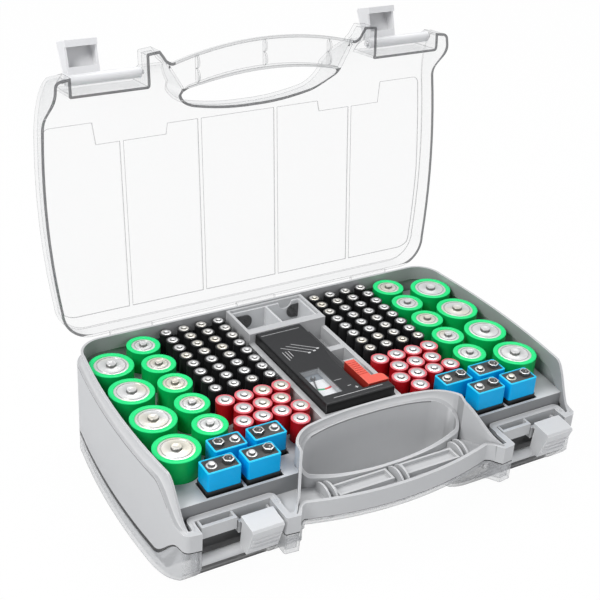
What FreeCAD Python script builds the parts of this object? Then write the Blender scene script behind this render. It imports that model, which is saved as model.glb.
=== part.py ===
"""Two-sided carrying case for loose cells, with clear lids, hooked latches and a lift-out cell tester.

Millimetres. Z points up, X runs along the front, and the front faces -Y. The origin lies under the
middle of the lower lid. The case is drawn with the upper lid closed, and the lid is then turned open.
"""
import FreeCAD, Part
import math
import os

Vector = FreeCAD.Vector
os.makedirs("parts", exist_ok=True)

# Overall sizes of the closed case
CASE_HEIGHT = 95.0
SIDE_MIDDLE_X = 173.0
SIDE_BACK_X = 167.0
SIDE_FRONT_X = 166.3
BACK_Y = 93.0
BACK_CORNER = 24.0
SIDE_FRONT_Y = -110.5
BOW_FRONT_Y = -128.2
BOW_RADIUS = 275.0
BOW_HALF_WIDTH = 77.0

# Heights, measured from the mid plane of the case
LEDGE_RISE = 30.5
LIP_RISE = 9.5
BAND_RISE = 7.0
DECK_RISE = 17.0
FRONT_FLOOR_RISE = 3.0
CURVE_BACK_Y = -74.0
CURVE_FRONT_Y = -106.0
DROP_Y = -97.0
FLOOR_FRONT_Y = -94.0

# Walls and clearances
WALL = 2.4
LEDGE_WIDTH = WALL + 0.5
LIP_WALL = 1.9
LID_WALL = 2.0
LID_SEAT_GAP = 0.3
PLATE = 2.0
SEAT_GAP = 0.1
RUNNING_GAP = 0.05
LID_FRONT_ROUND = 40.0
LID_CORNER_ROUND = 30.0
HANDLE_EDGE_ROUND = 5.5
PANEL_SINK = 0.5

# Front blocks, latch notches and the hand opening
BLOCK_INNER_X = 86.5
BLOCK_INNER_Y = -127.0
NOTCH_INNER_X = 97.0
NOTCH_OUTER_X = 154.0
NOTCH_BACK_Y = -102.4
BLOCK_OUTER_Y = -115.3
HAND_HALF_WIDTH = 66.0
HAND_BACK_Y = -73.0
HAND_BACK_SAG = 5.0
HAND_FRONT_Y = -104.0
HAND_FRONT_SAG = 7.6
HAND_CORNER_Y = -90.0
HANDLE_LID_RISE = 8.0
BLOCK_LID_RISE = 17.0
HANDLE_GAP = 0.25
HANDLE_INSET = 0.3
HANDLE_RIB_X = 56.0
HANDLE_RIB_WIDTH = 1.4
HANDLE_RIB_SPACING = 5.2
HANDLE_RIB_ARCH = 3.6
HANDLE_GROUND_DROP = 5.5
HANDLE_FRAME_SPAN = (5.8, 51.0)
HANDLE_FRAME_FRONT_Y = -119.3
HANDLE_FRAME_WALL = 1.5
HANDLE_FRAME_DROP = 1.2
HANDLE_FRAME_DEPTH = 3.0
HANDLE_RIB_DROP = 0.6
HANDLE_ROOT = 0.5
BAY_FRONT_X = 84.5
BAY_FRONT_Y = -127.0

# Hinges along the back
HINGE_OUT = 5.75
HINGE_DROP = 1.0
LUG_RADIUS = 4.0
PIN_RADIUS = 1.5
HINGE_CENTRES = (-111.0, 0.0, 111.0)
KNUCKLE_LENGTH = 36.0
EAR_LENGTH = 6.0
EAR_GAP = 0.4
KNUCKLE_SHRINK = 0.2
KNUCKLE_ARM_THICK = 2.4
LID_OPEN = 96.5

# Sunk panels of the lids
PANEL_FRONT_Y = -62.5
PANEL_STEP_Y = -54.0
PANEL_SIDE_Y = -71.0
PANEL_BACK_Y = 81.0
PANEL_SIDE_X = 167.5
PANEL_RIDGES_X = (-106.0, -41.0, 26.0, 96.0)
PANEL_RIDGE_WIDTH = 3.0

# Latches and catches
LATCH_FORWARD = 8.1
LATCH_BARREL_RISE = 20.0
LATCH_REACH = 27.5
LATCH_WIDTH = 24.0
LATCH_INNER_X = 111.5
LATCH_OUTER_X = 139.0
LATCH_SLACK = 5.0
LATCH_OPEN = 97.0
BARREL_RADIUS = 4.0
LATCH_WALL = 1.5
LATCH_ROOT = 9.0
LATCH_ROOT_DEPTH = 9.5
LATCH_TIP_DEPTH = 15.3
LATCH_TIP_WALL = 2.5
LATCH_END_GAP = 0.5
LATCH_RIBS = 3
LATCH_RIB_RADIUS = 1.0
CATCH_THICK = 2.5
CATCH_HEIGHT = 9.5
CATCH_GAP = 0.3
HOOK_BITE = 2.0

# Centre frames, tester and tray
FRAME_X = 35.0
FRAME_WALL = 3.6
TESTER_FRONT_Y = -61.0
TESTER_BACK_Y = 47.0
TESTER_LEFT_X = -29.5
TESTER_RIGHT_X = 10.5
TESTER_ARM_X = 29.5
TESTER_ARM_DEPTH = 8.5
TESTER_HEIGHT = 20.0
TESTER_RISE = 38.5
FRAME_RISE = 30.5
TRAY_RISE = 38.7
TRAY_FRONT_Y = 54.5
TRAY_WALL = 1.4
FIT_GAP = 0.5
SLIDER_WIDTH = 8.3
SLIDER_X = 12.0
RAIL_X = 18.0
RAIL_ENDS_Y = (-50.0, 44.0)
RAIL_THICK = 2.0
SLIDER_LENGTH = 34.0
SLIDER_FOOT_X = 30.0
SLIDER_FOOT_DEPTH = 9.5
SLIDER_RIBS = 7
SLIDER_RIB_PITCH = 2.7
DIAL_DROP = 5.0
TESTER_EDGE_ROUND = 1.2

# Cells: radius, length, rise of the shoulder above the mid plane, nub radius, nub height
D_CELL = (17.0, 61.5, 35.0, 4.4, 1.6)
C_CELL = (13.0, 50.0, 35.2, 3.4, 1.6)
AA_CELL = (7.1, 50.5, 35.0, 2.7, 1.3)
AAA_CELL = (5.15, 44.5, 36.0, 1.9, 1.2)
NINE_VOLT = (25.5, 16.0, 48.5, 35.0)
NINE_VOLT_BAND = 33.5
STUD_X = 6.35
STUD_RADIUS = 2.8
STUD_HEIGHT = 2.8
CROWN_RADIUS = 4.2
CROWN_BORE = 3.1
CROWN_HEIGHT = 2.6
CROWN_FLOOR = 0.8
CAP_RIM = 2.6
CAP_DISH = 1.2
CAP_THICK = 0.8
CELL_GAP = 0.35
NINE_VOLT_BASE_STEP = 0.6
NINE_VOLT_SIDE_GAP = 1.5
NINE_VOLT_FRONT_GAP = 2.0
SMALL_SIDES = 12
NUB_SIDES = 8

D_X = 146.1
D_PITCH = 38.3
C_X = 113.2
C_BACK_Y = 73.5
C_PITCH = 28.9
AA_ROW_Y = (-19.7, -34.3, -48.5, -62.7)
AA_PITCH = 15.4
AAA_X = 44.6
AAA_PITCH_X = 15.2
AAA_BACK_Y = 82.0
AAA_PITCH_Y = 12.3

MID = CASE_HEIGHT / 2
LEDGE_Z = MID + LEDGE_RISE
BAND_Z = MID + BAND_RISE
DECK_Z = MID + DECK_RISE
LIP_Z = LEDGE_Z + LIP_RISE
FRONT_FLOOR_Z = MID + FRONT_FLOOR_RISE
FLOOR_Z = CASE_HEIGHT - LEDGE_Z + PLATE
HINGE_Y = BACK_Y + HINGE_OUT
HINGE_Z = LEDGE_Z - HINGE_DROP
LATCH_Y = NOTCH_BACK_Y - LATCH_FORWARD
LATCH_Z = MID + LATCH_BARREL_RISE
REACH = 400.0


def fuse(shapes):
    shapes = list(shapes)
    if len(shapes) == 1:
        return shapes[0]
    return shapes[0].fuse(shapes[1:]).removeSplitter()


def box(x0, x1, y0, y1, z0, z1):
    return Part.makeBox(x1 - x0, y1 - y0, z1 - z0, Vector(x0, y0, z0))


def rod(radius, start, end):
    start = Vector(*start)
    run = Vector(*end) - start
    return Part.makeCylinder(radius, run.Length, start, run)


def turned(shape, y, z, angle):
    """Turn a shape about the line along X at (y, z); a positive angle takes +Y towards +Z."""
    copy = shape.copy()
    copy.rotate(Vector(0, y, z), Vector(1, 0, 0), angle)
    return copy


def flipped(shape):
    """The same piece on the other side of the case: half a turn about the case's long middle line."""
    copy = shape.copy()
    copy.rotate(Vector(0, 0, MID), Vector(0, 1, 0), 180)
    return copy


def write(name, shapes):
    shape = Part.Compound(list(shapes)) if isinstance(shapes, (list, tuple)) else shapes
    shape.exportStep("parts/" + name + ".step")


def edges_from(path):
    """Edges for a path of points, where a pair of points is an arc's middle and end."""
    edges = []
    last = path[0]
    for step in path[1:]:
        if isinstance(step[0], tuple):
            middle, end = step
            edges.append(arc(last, middle, end))
        else:
            end = step
            edges.append(Part.makeLine(Vector(last[0], last[1], 0), Vector(end[0], end[1], 0)))
        last = end
    return edges


def arc(start, middle, end):
    points = [Vector(p[0], p[1], 0) for p in (start, middle, end)]
    return Part.Arc(points[0], points[1], points[2]).toShape()


def mirrored_face(path):
    """A flat face from the right half of its outline, whose two ends lie on the middle line."""
    half = edges_from(path)
    whole = list(half)
    for edge in half:
        other = edge.mirror(Vector(0, 0, 0), Vector(1, 0, 0))
        whole.append(other)
    return Part.Face(Part.Wire(Part.__sortEdges__(whole)))


def grown(face, distance):
    return face.makeOffset2D(distance, 0, False, False, False)


def raised(face, z0, z1):
    copy = face.copy()
    copy.translate(Vector(0, 0, z0))
    return copy.extrude(Vector(0, 0, z1 - z0))


def bow_y(x):
    centre = BOW_FRONT_Y + BOW_RADIUS
    return centre - math.sqrt(BOW_RADIUS ** 2 - x ** 2)


def side_profile(back_top, front_top, curve, bottom):
    """A slab over the whole width, whose top runs flat, then down an S-curve, then flat to the front."""
    back_y, front_y = curve
    third = (back_y - front_y) * 0.4
    poles = [Vector(0, back_y, back_top), Vector(0, back_y - third, back_top)]
    poles += [Vector(0, front_y + third, front_top), Vector(0, front_y, front_top)]
    bend = Part.BezierCurve()
    bend.setPoles(poles)
    corners = [Vector(0, front_y, front_top), Vector(0, -REACH, front_top), Vector(0, -REACH, bottom)]
    corners += [Vector(0, REACH, bottom), Vector(0, REACH, back_top), Vector(0, back_y, back_top)]
    edges = [bend.toShape()]
    edges += [Part.makeLine(a, b) for a, b in zip(corners, corners[1:])]
    face = Part.Face(Part.Wire(Part.__sortEdges__(edges)))
    face.translate(Vector(-REACH, 0, 0))
    return face.extrude(Vector(2 * REACH, 0, 0))


# Plan of the case: bowed sides, latch notches, a bowed handle, and the hand opening behind it
def case_plan():
    bow_end = bow_y(BOW_HALF_WIDTH)
    step_y = (bow_end + BLOCK_INNER_Y) / 2
    diagonal = BACK_CORNER * math.sqrt(0.5)
    side_back_y = BACK_Y - BACK_CORNER
    corner = (SIDE_BACK_X - BACK_CORNER + diagonal, side_back_y + diagonal)
    side_mid_y = (SIDE_FRONT_Y + side_back_y) / 2
    path = [(0, BOW_FRONT_Y), ((BOW_HALF_WIDTH / 2, bow_y(BOW_HALF_WIDTH / 2)), (BOW_HALF_WIDTH, bow_end))]
    path.append(((BOW_HALF_WIDTH + 4.0, bow_end - 2.0), (BOW_HALF_WIDTH + 6.0, step_y)))
    path.append((BLOCK_INNER_X, BLOCK_INNER_Y))
    path.append((NOTCH_INNER_X - 1.0, BLOCK_INNER_Y + 1.0))
    path.append((NOTCH_INNER_X, BLOCK_INNER_Y + 2.0))
    path.append((NOTCH_INNER_X, NOTCH_BACK_Y))
    path.append((NOTCH_OUTER_X, NOTCH_BACK_Y))
    path.append((NOTCH_OUTER_X, BLOCK_OUTER_Y))
    path.append((SIDE_FRONT_X - 4.5, BLOCK_OUTER_Y + 1.0))
    path.append(((SIDE_FRONT_X - 1.0, SIDE_FRONT_Y - 1.6), (SIDE_FRONT_X, SIDE_FRONT_Y + 1.5)))
    path.append(((SIDE_MIDDLE_X, side_mid_y), (SIDE_BACK_X, side_back_y)))
    path.append((corner, (SIDE_BACK_X - BACK_CORNER, BACK_Y)))
    path.append((0, BACK_Y))
    return mirrored_face(path)


def hand_plan():
    front_end_y = HAND_FRONT_Y + HAND_FRONT_SAG
    back_x = HAND_HALF_WIDTH - 16.0
    path = [(0, HAND_FRONT_Y)]
    path.append(((33.0, HAND_FRONT_Y + 2.1), (HAND_HALF_WIDTH - 5.0, front_end_y)))
    path.append(((HAND_HALF_WIDTH - 1.0, front_end_y + 2.4), (HAND_HALF_WIDTH, HAND_CORNER_Y)))
    path.append(((HAND_HALF_WIDTH - 6.0, HAND_BACK_Y - 10.0), (back_x, HAND_BACK_Y - HAND_BACK_SAG)))
    path.append(((back_x / 2, HAND_BACK_Y - 1.0), (0, HAND_BACK_Y)))
    return mirrored_face(path)


def bay_plan():
    """The ground of the handle, which widens from the hand opening to the front."""
    path = [(0, HAND_CORNER_Y - 1.0), (HAND_HALF_WIDTH, HAND_CORNER_Y - 1.0)]
    path.append((HAND_HALF_WIDTH, HAND_CORNER_Y - 6.0))
    path.append(((BAY_FRONT_X - 10.5, BAY_FRONT_Y + 17.5), (BAY_FRONT_X, BAY_FRONT_Y)))
    path.append((BAY_FRONT_X, -REACH / 2))
    path.append((0, -REACH / 2))
    return mirrored_face(path)


PLAN = case_plan()
HAND = hand_plan()
BAY = bay_plan()
CURVE = (CURVE_BACK_Y, CURVE_FRONT_Y)
SIDE_LIP_CURVE = (CURVE_BACK_Y - 10.0, CURVE_FRONT_Y - 5.0)
HAND_LIP_CURVE = (CURVE_BACK_Y - 12.0, CURVE_FRONT_Y - 22.0)


def below_ledge(drop):
    """Everything under the upper ledge line, lowered by a distance."""
    return side_profile(LEDGE_Z - drop, BAND_Z - drop, CURVE, -REACH)


def between_ledges(drop):
    upper = below_ledge(drop)
    return upper.common(flipped(upper))


def bay_zone(grow):
    """The hand opening and the handle's ground together, grown by a distance."""
    opening = raised(grown(HAND, grow) if grow else HAND, 0, CASE_HEIGHT)
    ground = raised(grown(BAY, grow) if grow else BAY, 0, CASE_HEIGHT)
    return fuse([opening, ground])


def plan_ring(outer, inner):
    """The strip of the plan that lies between two distances inside its edge, hand opening included."""
    outside = grown(PLAN, -outer) if outer else PLAN
    outer_hand = grown(HAND, outer) if outer else HAND
    solid = raised(outside, 0, CASE_HEIGHT).cut(raised(outer_hand, 0, CASE_HEIGHT))
    core = raised(grown(PLAN, -inner), -1, CASE_HEIGHT + 1)
    core = core.cut(raised(grown(HAND, inner), -2, CASE_HEIGHT + 2))
    return solid.cut(core)


def floor_plan(inset, z0, z1):
    """The whole inside of the case at one height, a distance in from the wall."""
    return raised(grown(PLAN, -inset), z0, z1).cut(bay_zone(inset))


def case_shell():
    """Outer wall, the ledge that the lids close on, and the lips inside the lids' skirts."""
    wall = plan_ring(0, WALL).common(between_ledges(0))
    lip_inset = LEDGE_WIDTH + LIP_WALL
    flange = plan_ring(0, lip_inset).common(below_ledge(0)).cut(below_ledge(WALL))
    ground = bay_zone(lip_inset)
    handle_ground = raised(grown(BAY, lip_inset), 0, CASE_HEIGHT)
    flange = flange.cut(handle_ground.cut(raised(grown(HAND, WALL), 0, CASE_HEIGHT)))
    side_lip = side_profile(LIP_Z, BAND_Z, SIDE_LIP_CURVE, -REACH)
    hand_lip = side_profile(LIP_Z - 4.0, BAND_Z, HAND_LIP_CURVE, -REACH)
    inside = raised(grown(PLAN, -LEDGE_WIDTH), 0, CASE_HEIGHT)
    lip = inside.cut(raised(grown(PLAN, -lip_inset), -1, CASE_HEIGHT + 1)).cut(ground).common(side_lip)
    bay_lip = ground.cut(bay_zone(LEDGE_WIDTH)).common(inside).common(hand_lip)
    band = bay_lip.common(below_ledge(0))
    upper = fuse([flange, lip.cut(below_ledge(WALL)), bay_lip.cut(band.common(below_ledge(WALL)))])
    bay_wall = bay_lip.common(between_ledges(0))
    return fuse([wall, upper, flipped(upper), bay_wall])


SHELL_INSET = LEDGE_WIDTH + LIP_WALL + SEAT_GAP


D_PLACES = [(s * D_X, D_PITCH * (i - 1.5)) for s in (-1, 1) for i in range(4)]
C_PLACES = [(s * C_X, C_BACK_Y - C_PITCH * i) for s in (-1, 1) for i in range(5)]
AAA_PLACES = []
AA_PLACES = []
for side in (-1, 1):
    for row in range(8):
        for column in range(4):
            AAA_PLACES.append((side * (AAA_X + AAA_PITCH_X * column), AAA_BACK_Y - AAA_PITCH_Y * row))
    for row, row_y in enumerate(AA_ROW_Y):
        count = (4, 3, 4, 1)[row]
        first = (43.8, 51.8, 43.8, 51.8)[row]
        for column in range(count):
            AA_PLACES.append((side * (first + AA_PITCH * column), row_y))
NINE_PLACES = [(-127.0, -85.0), (-96.6, -85.0), (-112.0, -65.2), (-81.0, -65.2)]
NINE_PLACES += [(127.0, -85.0), (96.6, -85.0), (112.0, -65.2), (81.0, -65.2)]
HEX_ON_LEFT = (False, False, True, True, False, False, False, False)


def prism(sides, radius, x, y, z0, z1):
    """An upright post with flat sides, its corners on a circle."""
    step = 2 * math.pi / sides
    turns = [step * k for k in range(sides)]
    corners = [Vector(x + radius * math.cos(a), y + radius * math.sin(a), z0) for a in turns]
    return Part.Face(Part.makePolygon(corners + corners[:1])).extrude(Vector(0, 0, z1 - z0))


def cornered_block(x, y, width, depth, corner, z0, z1):
    block = box(x - width / 2, x + width / 2, y - depth / 2, y + depth / 2, z0, z1)
    upright = [e for e in block.Edges if e.BoundBox.ZLength > 1.0]
    return block.makeChamfer(corner, upright)


def nine_volt_hole(x, y):
    width, depth, length, rise = NINE_VOLT
    return box(x - width / 2 - NINE_VOLT_SIDE_GAP, x + width / 2 + NINE_VOLT_SIDE_GAP,
               y - depth / 2 - NINE_VOLT_FRONT_GAP, y + depth / 2 + CELL_GAP, FLOOR_Z, CASE_HEIGHT)


def socket_cutters(side):
    cutters = []
    kinds = ((D_PLACES, D_CELL), (C_PLACES, C_CELL), (AA_PLACES, AA_CELL), (AAA_PLACES, AAA_CELL))
    for places, cell in kinds:
        for x, y in places:
            if x * side > 0:
                if cell[0] > AA_CELL[0]:
                    cutters.append(rod(cell[0] + CELL_GAP, (x, y, DECK_Z - 9), (x, y, DECK_Z + 9)))
                else:
                    cutters.append(prism(SMALL_SIDES, cell[0] + CELL_GAP, x, y, DECK_Z - 9, DECK_Z + 9))
    for x, y in NINE_PLACES:
        if x * side > 0:
            cutters.append(nine_volt_hole(x, y))
    return Part.Compound(cutters)


def deck(side):
    """One half of the deck: the plate that holds the cells, its drop wall and the low front floor."""
    top = floor_plan(SHELL_INSET, DECK_Z - PLATE, DECK_Z)
    top = top.cut(box(-REACH, REACH, -REACH, DROP_Y, 0, CASE_HEIGHT))
    drop = floor_plan(SHELL_INSET, FRONT_FLOOR_Z, DECK_Z - PLATE)
    drop = drop.common(box(-REACH, REACH, DROP_Y, DROP_Y + PLATE, 0, CASE_HEIGHT))
    front = floor_plan(SHELL_INSET, FRONT_FLOOR_Z - PLATE, FRONT_FLOOR_Z)
    front = front.common(box(-REACH, REACH, -REACH, DROP_Y + PLATE, 0, CASE_HEIGHT))
    plate = fuse([top, drop, front])
    inner = FRAME_X + SEAT_GAP
    keep = box(inner, REACH, -REACH, REACH, 0, CASE_HEIGHT)
    if side < 0:
        keep = keep.mirror(Vector(0, 0, 0), Vector(1, 0, 0))
    return plate.common(keep).cut(socket_cutters(side))


def case_floor():
    """The underside of the case: a floor inside the lower lip, which rises in a step at the front."""
    floor = floor_plan(SHELL_INSET, FLOOR_Z - PLATE, FLOOR_Z)
    floor = floor.cut(box(-REACH, REACH, -REACH, FLOOR_FRONT_Y, 0, CASE_HEIGHT))
    rise = floor_plan(SHELL_INSET, FLOOR_Z - PLATE, FRONT_FLOOR_Z - PLATE)
    rise = rise.common(box(-REACH, REACH, FLOOR_FRONT_Y - PLATE, FLOOR_FRONT_Y, 0, CASE_HEIGHT))
    return fuse([floor, rise])


def rest(x0, x1, y0, y1, top):
    """A hollow stand that a group of cells rests on."""
    outer = box(x0, x1, y0, y1, FLOOR_Z, top)
    return outer.cut(box(x0 + PLATE, x1 - PLATE, y0 + PLATE, y1 - PLATE, FLOOR_Z, top - PLATE))


def cell_bottom(cell):
    return MID + cell[2] + cell[4] - cell[1]


def cell_rests():
    rests = []
    c_half = C_CELL[0] - 3.0
    aaa_front = AAA_BACK_Y - AAA_PITCH_Y * 7
    aaa_outer = AAA_X + AAA_PITCH_X * 3
    nine_bottom = MID + NINE_VOLT[3] - NINE_VOLT[2]
    for side in (-1, 1):
        c_front = C_BACK_Y - C_PITCH * 4 - c_half
        spans = [(C_X - c_half, C_X + c_half, c_front, C_BACK_Y + 3.0, cell_bottom(C_CELL))]
        spans.append((AAA_X - 4.0, aaa_outer + 4.0, aaa_front - 4.0, AAA_BACK_Y + 2.0, cell_bottom(AAA_CELL)))
        spans.append((40.0, 94.0, AA_ROW_Y[2] - 6.0, AA_ROW_Y[0] + 6.0, cell_bottom(AA_CELL)))
        spans.append((40.0, 65.0, AA_ROW_Y[3] - 6.0, AA_ROW_Y[2] - 6.5, cell_bottom(AA_CELL)))
        spans.append((70.0, 123.0, -72.0, -59.0, nine_bottom))
        spans.append((86.0, 138.0, -92.0, -78.0, nine_bottom))
        for x0, x1, y0, y1, top in spans:
            if side < 0:
                x0, x1 = -x1, -x0
            rests.append(rest(x0, x1, y0, y1, top))
    return rests


def handle_rib(x):
    """A thin wall across the handle bar, whose top edge arches up between the hand opening and the front."""
    near_x = max(abs(x) - HANDLE_RIB_WIDTH / 2, 0.0)
    sag = HAND_FRONT_SAG * (near_x / (HAND_HALF_WIDTH - 5.0)) ** 2
    back = HAND_FRONT_Y + sag - WALL - HANDLE_GAP - HANDLE_INSET
    front = bow_y(abs(x) + HANDLE_RIB_WIDTH) + WALL + HANDLE_GAP + HANDLE_INSET
    foot = BAND_Z - HANDLE_GROUND_DROP - HANDLE_ROOT
    shoulder = BAND_Z - HANDLE_RIB_DROP
    x0 = x - HANDLE_RIB_WIDTH / 2
    ends = [Vector(x0, back, shoulder), Vector(x0, front, shoulder)]
    crown = Vector(x0, (front + back) / 2, shoulder + HANDLE_RIB_ARCH)
    feet = [Vector(x0, front, foot), Vector(x0, back, foot)]
    edges = [Part.Arc(ends[0], crown, ends[1]).toShape(), Part.makeLine(ends[1], feet[0])]
    edges += [Part.makeLine(feet[0], feet[1]), Part.makeLine(feet[1], ends[0])]
    return Part.Face(Part.Wire(edges)).extrude(Vector(HANDLE_RIB_WIDTH, 0, 0))


def handle_frame(x0, x1):
    """A raised rectangular rim on the handle's ground, with a shallow floor inside it."""
    y0 = HANDLE_FRAME_FRONT_Y
    y1 = HAND_FRONT_Y - WALL - HANDLE_GAP - HANDLE_INSET
    top = BAND_Z - HANDLE_FRAME_DROP
    wall = HANDLE_FRAME_WALL
    frame = box(x0, x1, y0, y1, BAND_Z - HANDLE_GROUND_DROP - HANDLE_ROOT, top)
    return frame.cut(box(x0 + wall, x1 - wall, y0 + wall, y1 - wall, top - HANDLE_FRAME_DEPTH, top + 1))


def handle_core():
    """The bar of the handle: a sunk ground with two raised frames and three pairs of arched ribs a side."""
    inner = WALL + HANDLE_GAP
    ground_z = BAND_Z - HANDLE_GROUND_DROP
    ground = raised(grown(BAY, LEDGE_WIDTH - HANDLE_GAP), CASE_HEIGHT - ground_z, ground_z)
    bar = ground.common(raised(grown(PLAN, -inner), 0, CASE_HEIGHT))
    bar = bar.cut(raised(grown(HAND, inner), 0, CASE_HEIGHT))
    back_y = HAND_FRONT_Y + HAND_FRONT_SAG
    bar = bar.cut(box(-REACH, REACH, back_y - 1.0, REACH, 0, CASE_HEIGHT))
    near, far = HANDLE_FRAME_SPAN
    details = [handle_frame(near, far), handle_frame(-far, -near)]
    for x in (-HANDLE_RIB_X, 0.0, HANDLE_RIB_X):
        details.append(handle_rib(x - HANDLE_RIB_SPACING / 2))
        details.append(handle_rib(x + HANDLE_RIB_SPACING / 2))
    details += [flipped(piece) for piece in details]
    return fuse([bar] + details)


def latch_catches():
    """In each notch, a bar under the upper latch and a bar under the lower one, each on two arms."""
    bars = []
    for notch in (-1, 1):
        for x, sense in ((LATCH_OUTER_X, notch), (LATCH_INNER_X, -notch)):
            centre = notch * x
            half = LATCH_WIDTH / 2 + 1.0
            front = LATCH_Y + 0.5
            bar = box(centre - half, centre + half, front, front + CATCH_THICK, BAND_Z - CATCH_HEIGHT, BAND_Z)
            arms = []
            for end in (centre - half, centre + half - LATCH_WALL):
                arms.append(box(end, end + LATCH_WALL, front, NOTCH_BACK_Y, BAND_Z - CATCH_HEIGHT, BAND_Z))
            whole = fuse([bar] + arms)
            upper = sense < 0
            if not upper:
                whole = whole.mirror(Vector(0, 0, MID), Vector(0, 0, 1))
            bars.append(whole)
    return bars


def hinge_lugs():
    """Ears on the back wall, a pair at each side of every lid knuckle, for both lids."""
    ears = []
    reach = KNUCKLE_LENGTH / 2 + EAR_GAP
    for x in HINGE_CENTRES:
        for start in (x - reach - EAR_LENGTH, x + reach):
            barrel = rod(LUG_RADIUS, (start, HINGE_Y, HINGE_Z), (start + EAR_LENGTH, HINGE_Y, HINGE_Z))
            web = box(start, start + EAR_LENGTH, BACK_Y, HINGE_Y, HINGE_Z - LUG_RADIUS, HINGE_Z)
            bore = rod(PIN_RADIUS, (start - 1, HINGE_Y, HINGE_Z), (start + EAR_LENGTH + 1, HINGE_Y, HINGE_Z))
            ear = fuse([barrel, web]).cut(bore)
            ears += [ear, ear.mirror(Vector(0, 0, MID), Vector(0, 0, 1))]
    return ears


def hinge_pins():
    pins = []
    reach = KNUCKLE_LENGTH / 2 + EAR_GAP + EAR_LENGTH
    for x in HINGE_CENTRES:
        for z in (HINGE_Z, CASE_HEIGHT - HINGE_Z):
            pins.append(rod(PIN_RADIUS, (x - reach, HINGE_Y, z), (x + reach, HINGE_Y, z)))
    return pins


def lid_knuckles():
    knuckles = []
    radius = LUG_RADIUS - KNUCKLE_SHRINK
    for x in HINGE_CENTRES:
        start = x - KNUCKLE_LENGTH / 2
        end = x + KNUCKLE_LENGTH / 2
        barrel = rod(radius, (start, HINGE_Y, HINGE_Z), (end, HINGE_Y, HINGE_Z))
        arm = box(start, end, BACK_Y - 0.5, HINGE_Y, HINGE_Z + radius - KNUCKLE_ARM_THICK, HINGE_Z + radius)
        knuckles.append(fuse([barrel, arm]))
    return knuckles


def rounded_slab(front, radius, inset):
    """A slab under the closed lid's top, cut off upright at the front with a large round along that edge."""
    top = CASE_HEIGHT - inset
    inner = radius - inset
    centre_y = front + radius
    centre_z = CASE_HEIGHT - radius
    slant = inner * math.sqrt(0.5)
    tip = Vector(0, centre_y - inner, centre_z)
    bend = Part.Arc(Vector(0, centre_y, top), Vector(0, centre_y - slant, centre_z + slant), tip)
    corners = [tip, Vector(0, tip.y, 0), Vector(0, REACH, 0), Vector(0, REACH, top), Vector(0, centre_y, top)]
    edges = [bend.toShape()]
    edges += [Part.makeLine(a, b) for a, b in zip(corners, corners[1:])]
    face = Part.Face(Part.Wire(Part.__sortEdges__(edges)))
    face.translate(Vector(-REACH, 0, 0))
    return face.extrude(Vector(2 * REACH, 0, 0))


def lid_profile(inset):
    """The lid's outside, or its inside: flat above, rounded along the front and at both front corners."""
    front = BLOCK_OUTER_Y - 3.0
    slab = rounded_slab(front, LID_FRONT_ROUND, inset)
    corner_reach = (SIDE_FRONT_X - BLOCK_OUTER_Y) * math.sqrt(0.5) - 1.0
    for angle in (-45, 45):
        corner = rounded_slab(-corner_reach, LID_CORNER_ROUND, inset)
        corner.rotate(Vector(0, 0, 0), Vector(0, 0, 1), angle)
        slab = slab.common(corner)
    apron_top = BAND_Z + BLOCK_LID_RISE - inset
    return fuse([slab, box(-REACH, REACH, -REACH, front + LID_FRONT_ROUND, 0, apron_top)])


def handle_edge(inset):
    """What the round along the handle's front edge takes off the lid."""
    top = BAND_Z + HANDLE_LID_RISE - inset
    middle = Vector(0, BOW_FRONT_Y + BOW_RADIUS, MID)
    bow = Part.makeCylinder(BOW_RADIUS - inset, top - MID, middle)
    rim = [e for e in bow.Edges if e.BoundBox.ZMin > top - 0.1]
    bow = bow.makeFillet(HANDLE_EDGE_ROUND - inset, rim)
    near = box(-BOW_HALF_WIDTH, BOW_HALF_WIDTH, -REACH, HAND_FRONT_Y, top - HANDLE_EDGE_ROUND, top)
    return near.cut(bow)


def lid_body(inset):
    plan = grown(PLAN, -inset) if inset else PLAN
    block = raised(plan, MID, CASE_HEIGHT - inset).common(lid_profile(inset)).cut(handle_edge(inset))
    dip_top = BAND_Z + HANDLE_LID_RISE - inset
    return block.cut(raised(grown(BAY, inset) if inset else BAY, dip_top, REACH))


def lid_panels():
    """Five shallow panels sunk into the lid's inner face, which step round the latch notches."""
    step_x = (NOTCH_INNER_X + NOTCH_OUTER_X) / 2 - 0.5
    path = [(0, PANEL_FRONT_Y), (HAND_HALF_WIDTH + 0.5, PANEL_FRONT_Y), (HAND_HALF_WIDTH + 2.0, PANEL_STEP_Y)]
    path += [(step_x, PANEL_STEP_Y), (step_x + 2.0, PANEL_SIDE_Y), (PANEL_SIDE_X - 7.5, PANEL_SIDE_Y)]
    path.append(((PANEL_SIDE_X - 3.5, PANEL_SIDE_Y + 1.7), (PANEL_SIDE_X - 2.0, PANEL_SIDE_Y + 5.5)))
    path.append(((PANEL_SIDE_X, 0.0), (PANEL_SIDE_X - 1.5, PANEL_BACK_Y - 19.0)))
    path.append(((PANEL_SIDE_X - 6.0, PANEL_BACK_Y - 5.0), (PANEL_SIDE_X - 19.5, PANEL_BACK_Y)))
    path.append((0, PANEL_BACK_Y))
    top = CASE_HEIGHT - LID_WALL + PANEL_SINK
    panels = raised(mirrored_face(path), top - 1.0, top)
    width = PANEL_RIDGE_WIDTH
    ridges = [box(x, x + width, -REACH, REACH, 0, CASE_HEIGHT) for x in PANEL_RIDGES_X]
    return panels.common(raised(grown(PLAN, -LID_WALL - 3.0), 0, CASE_HEIGHT)).cut(Part.Compound(ridges))


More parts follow.
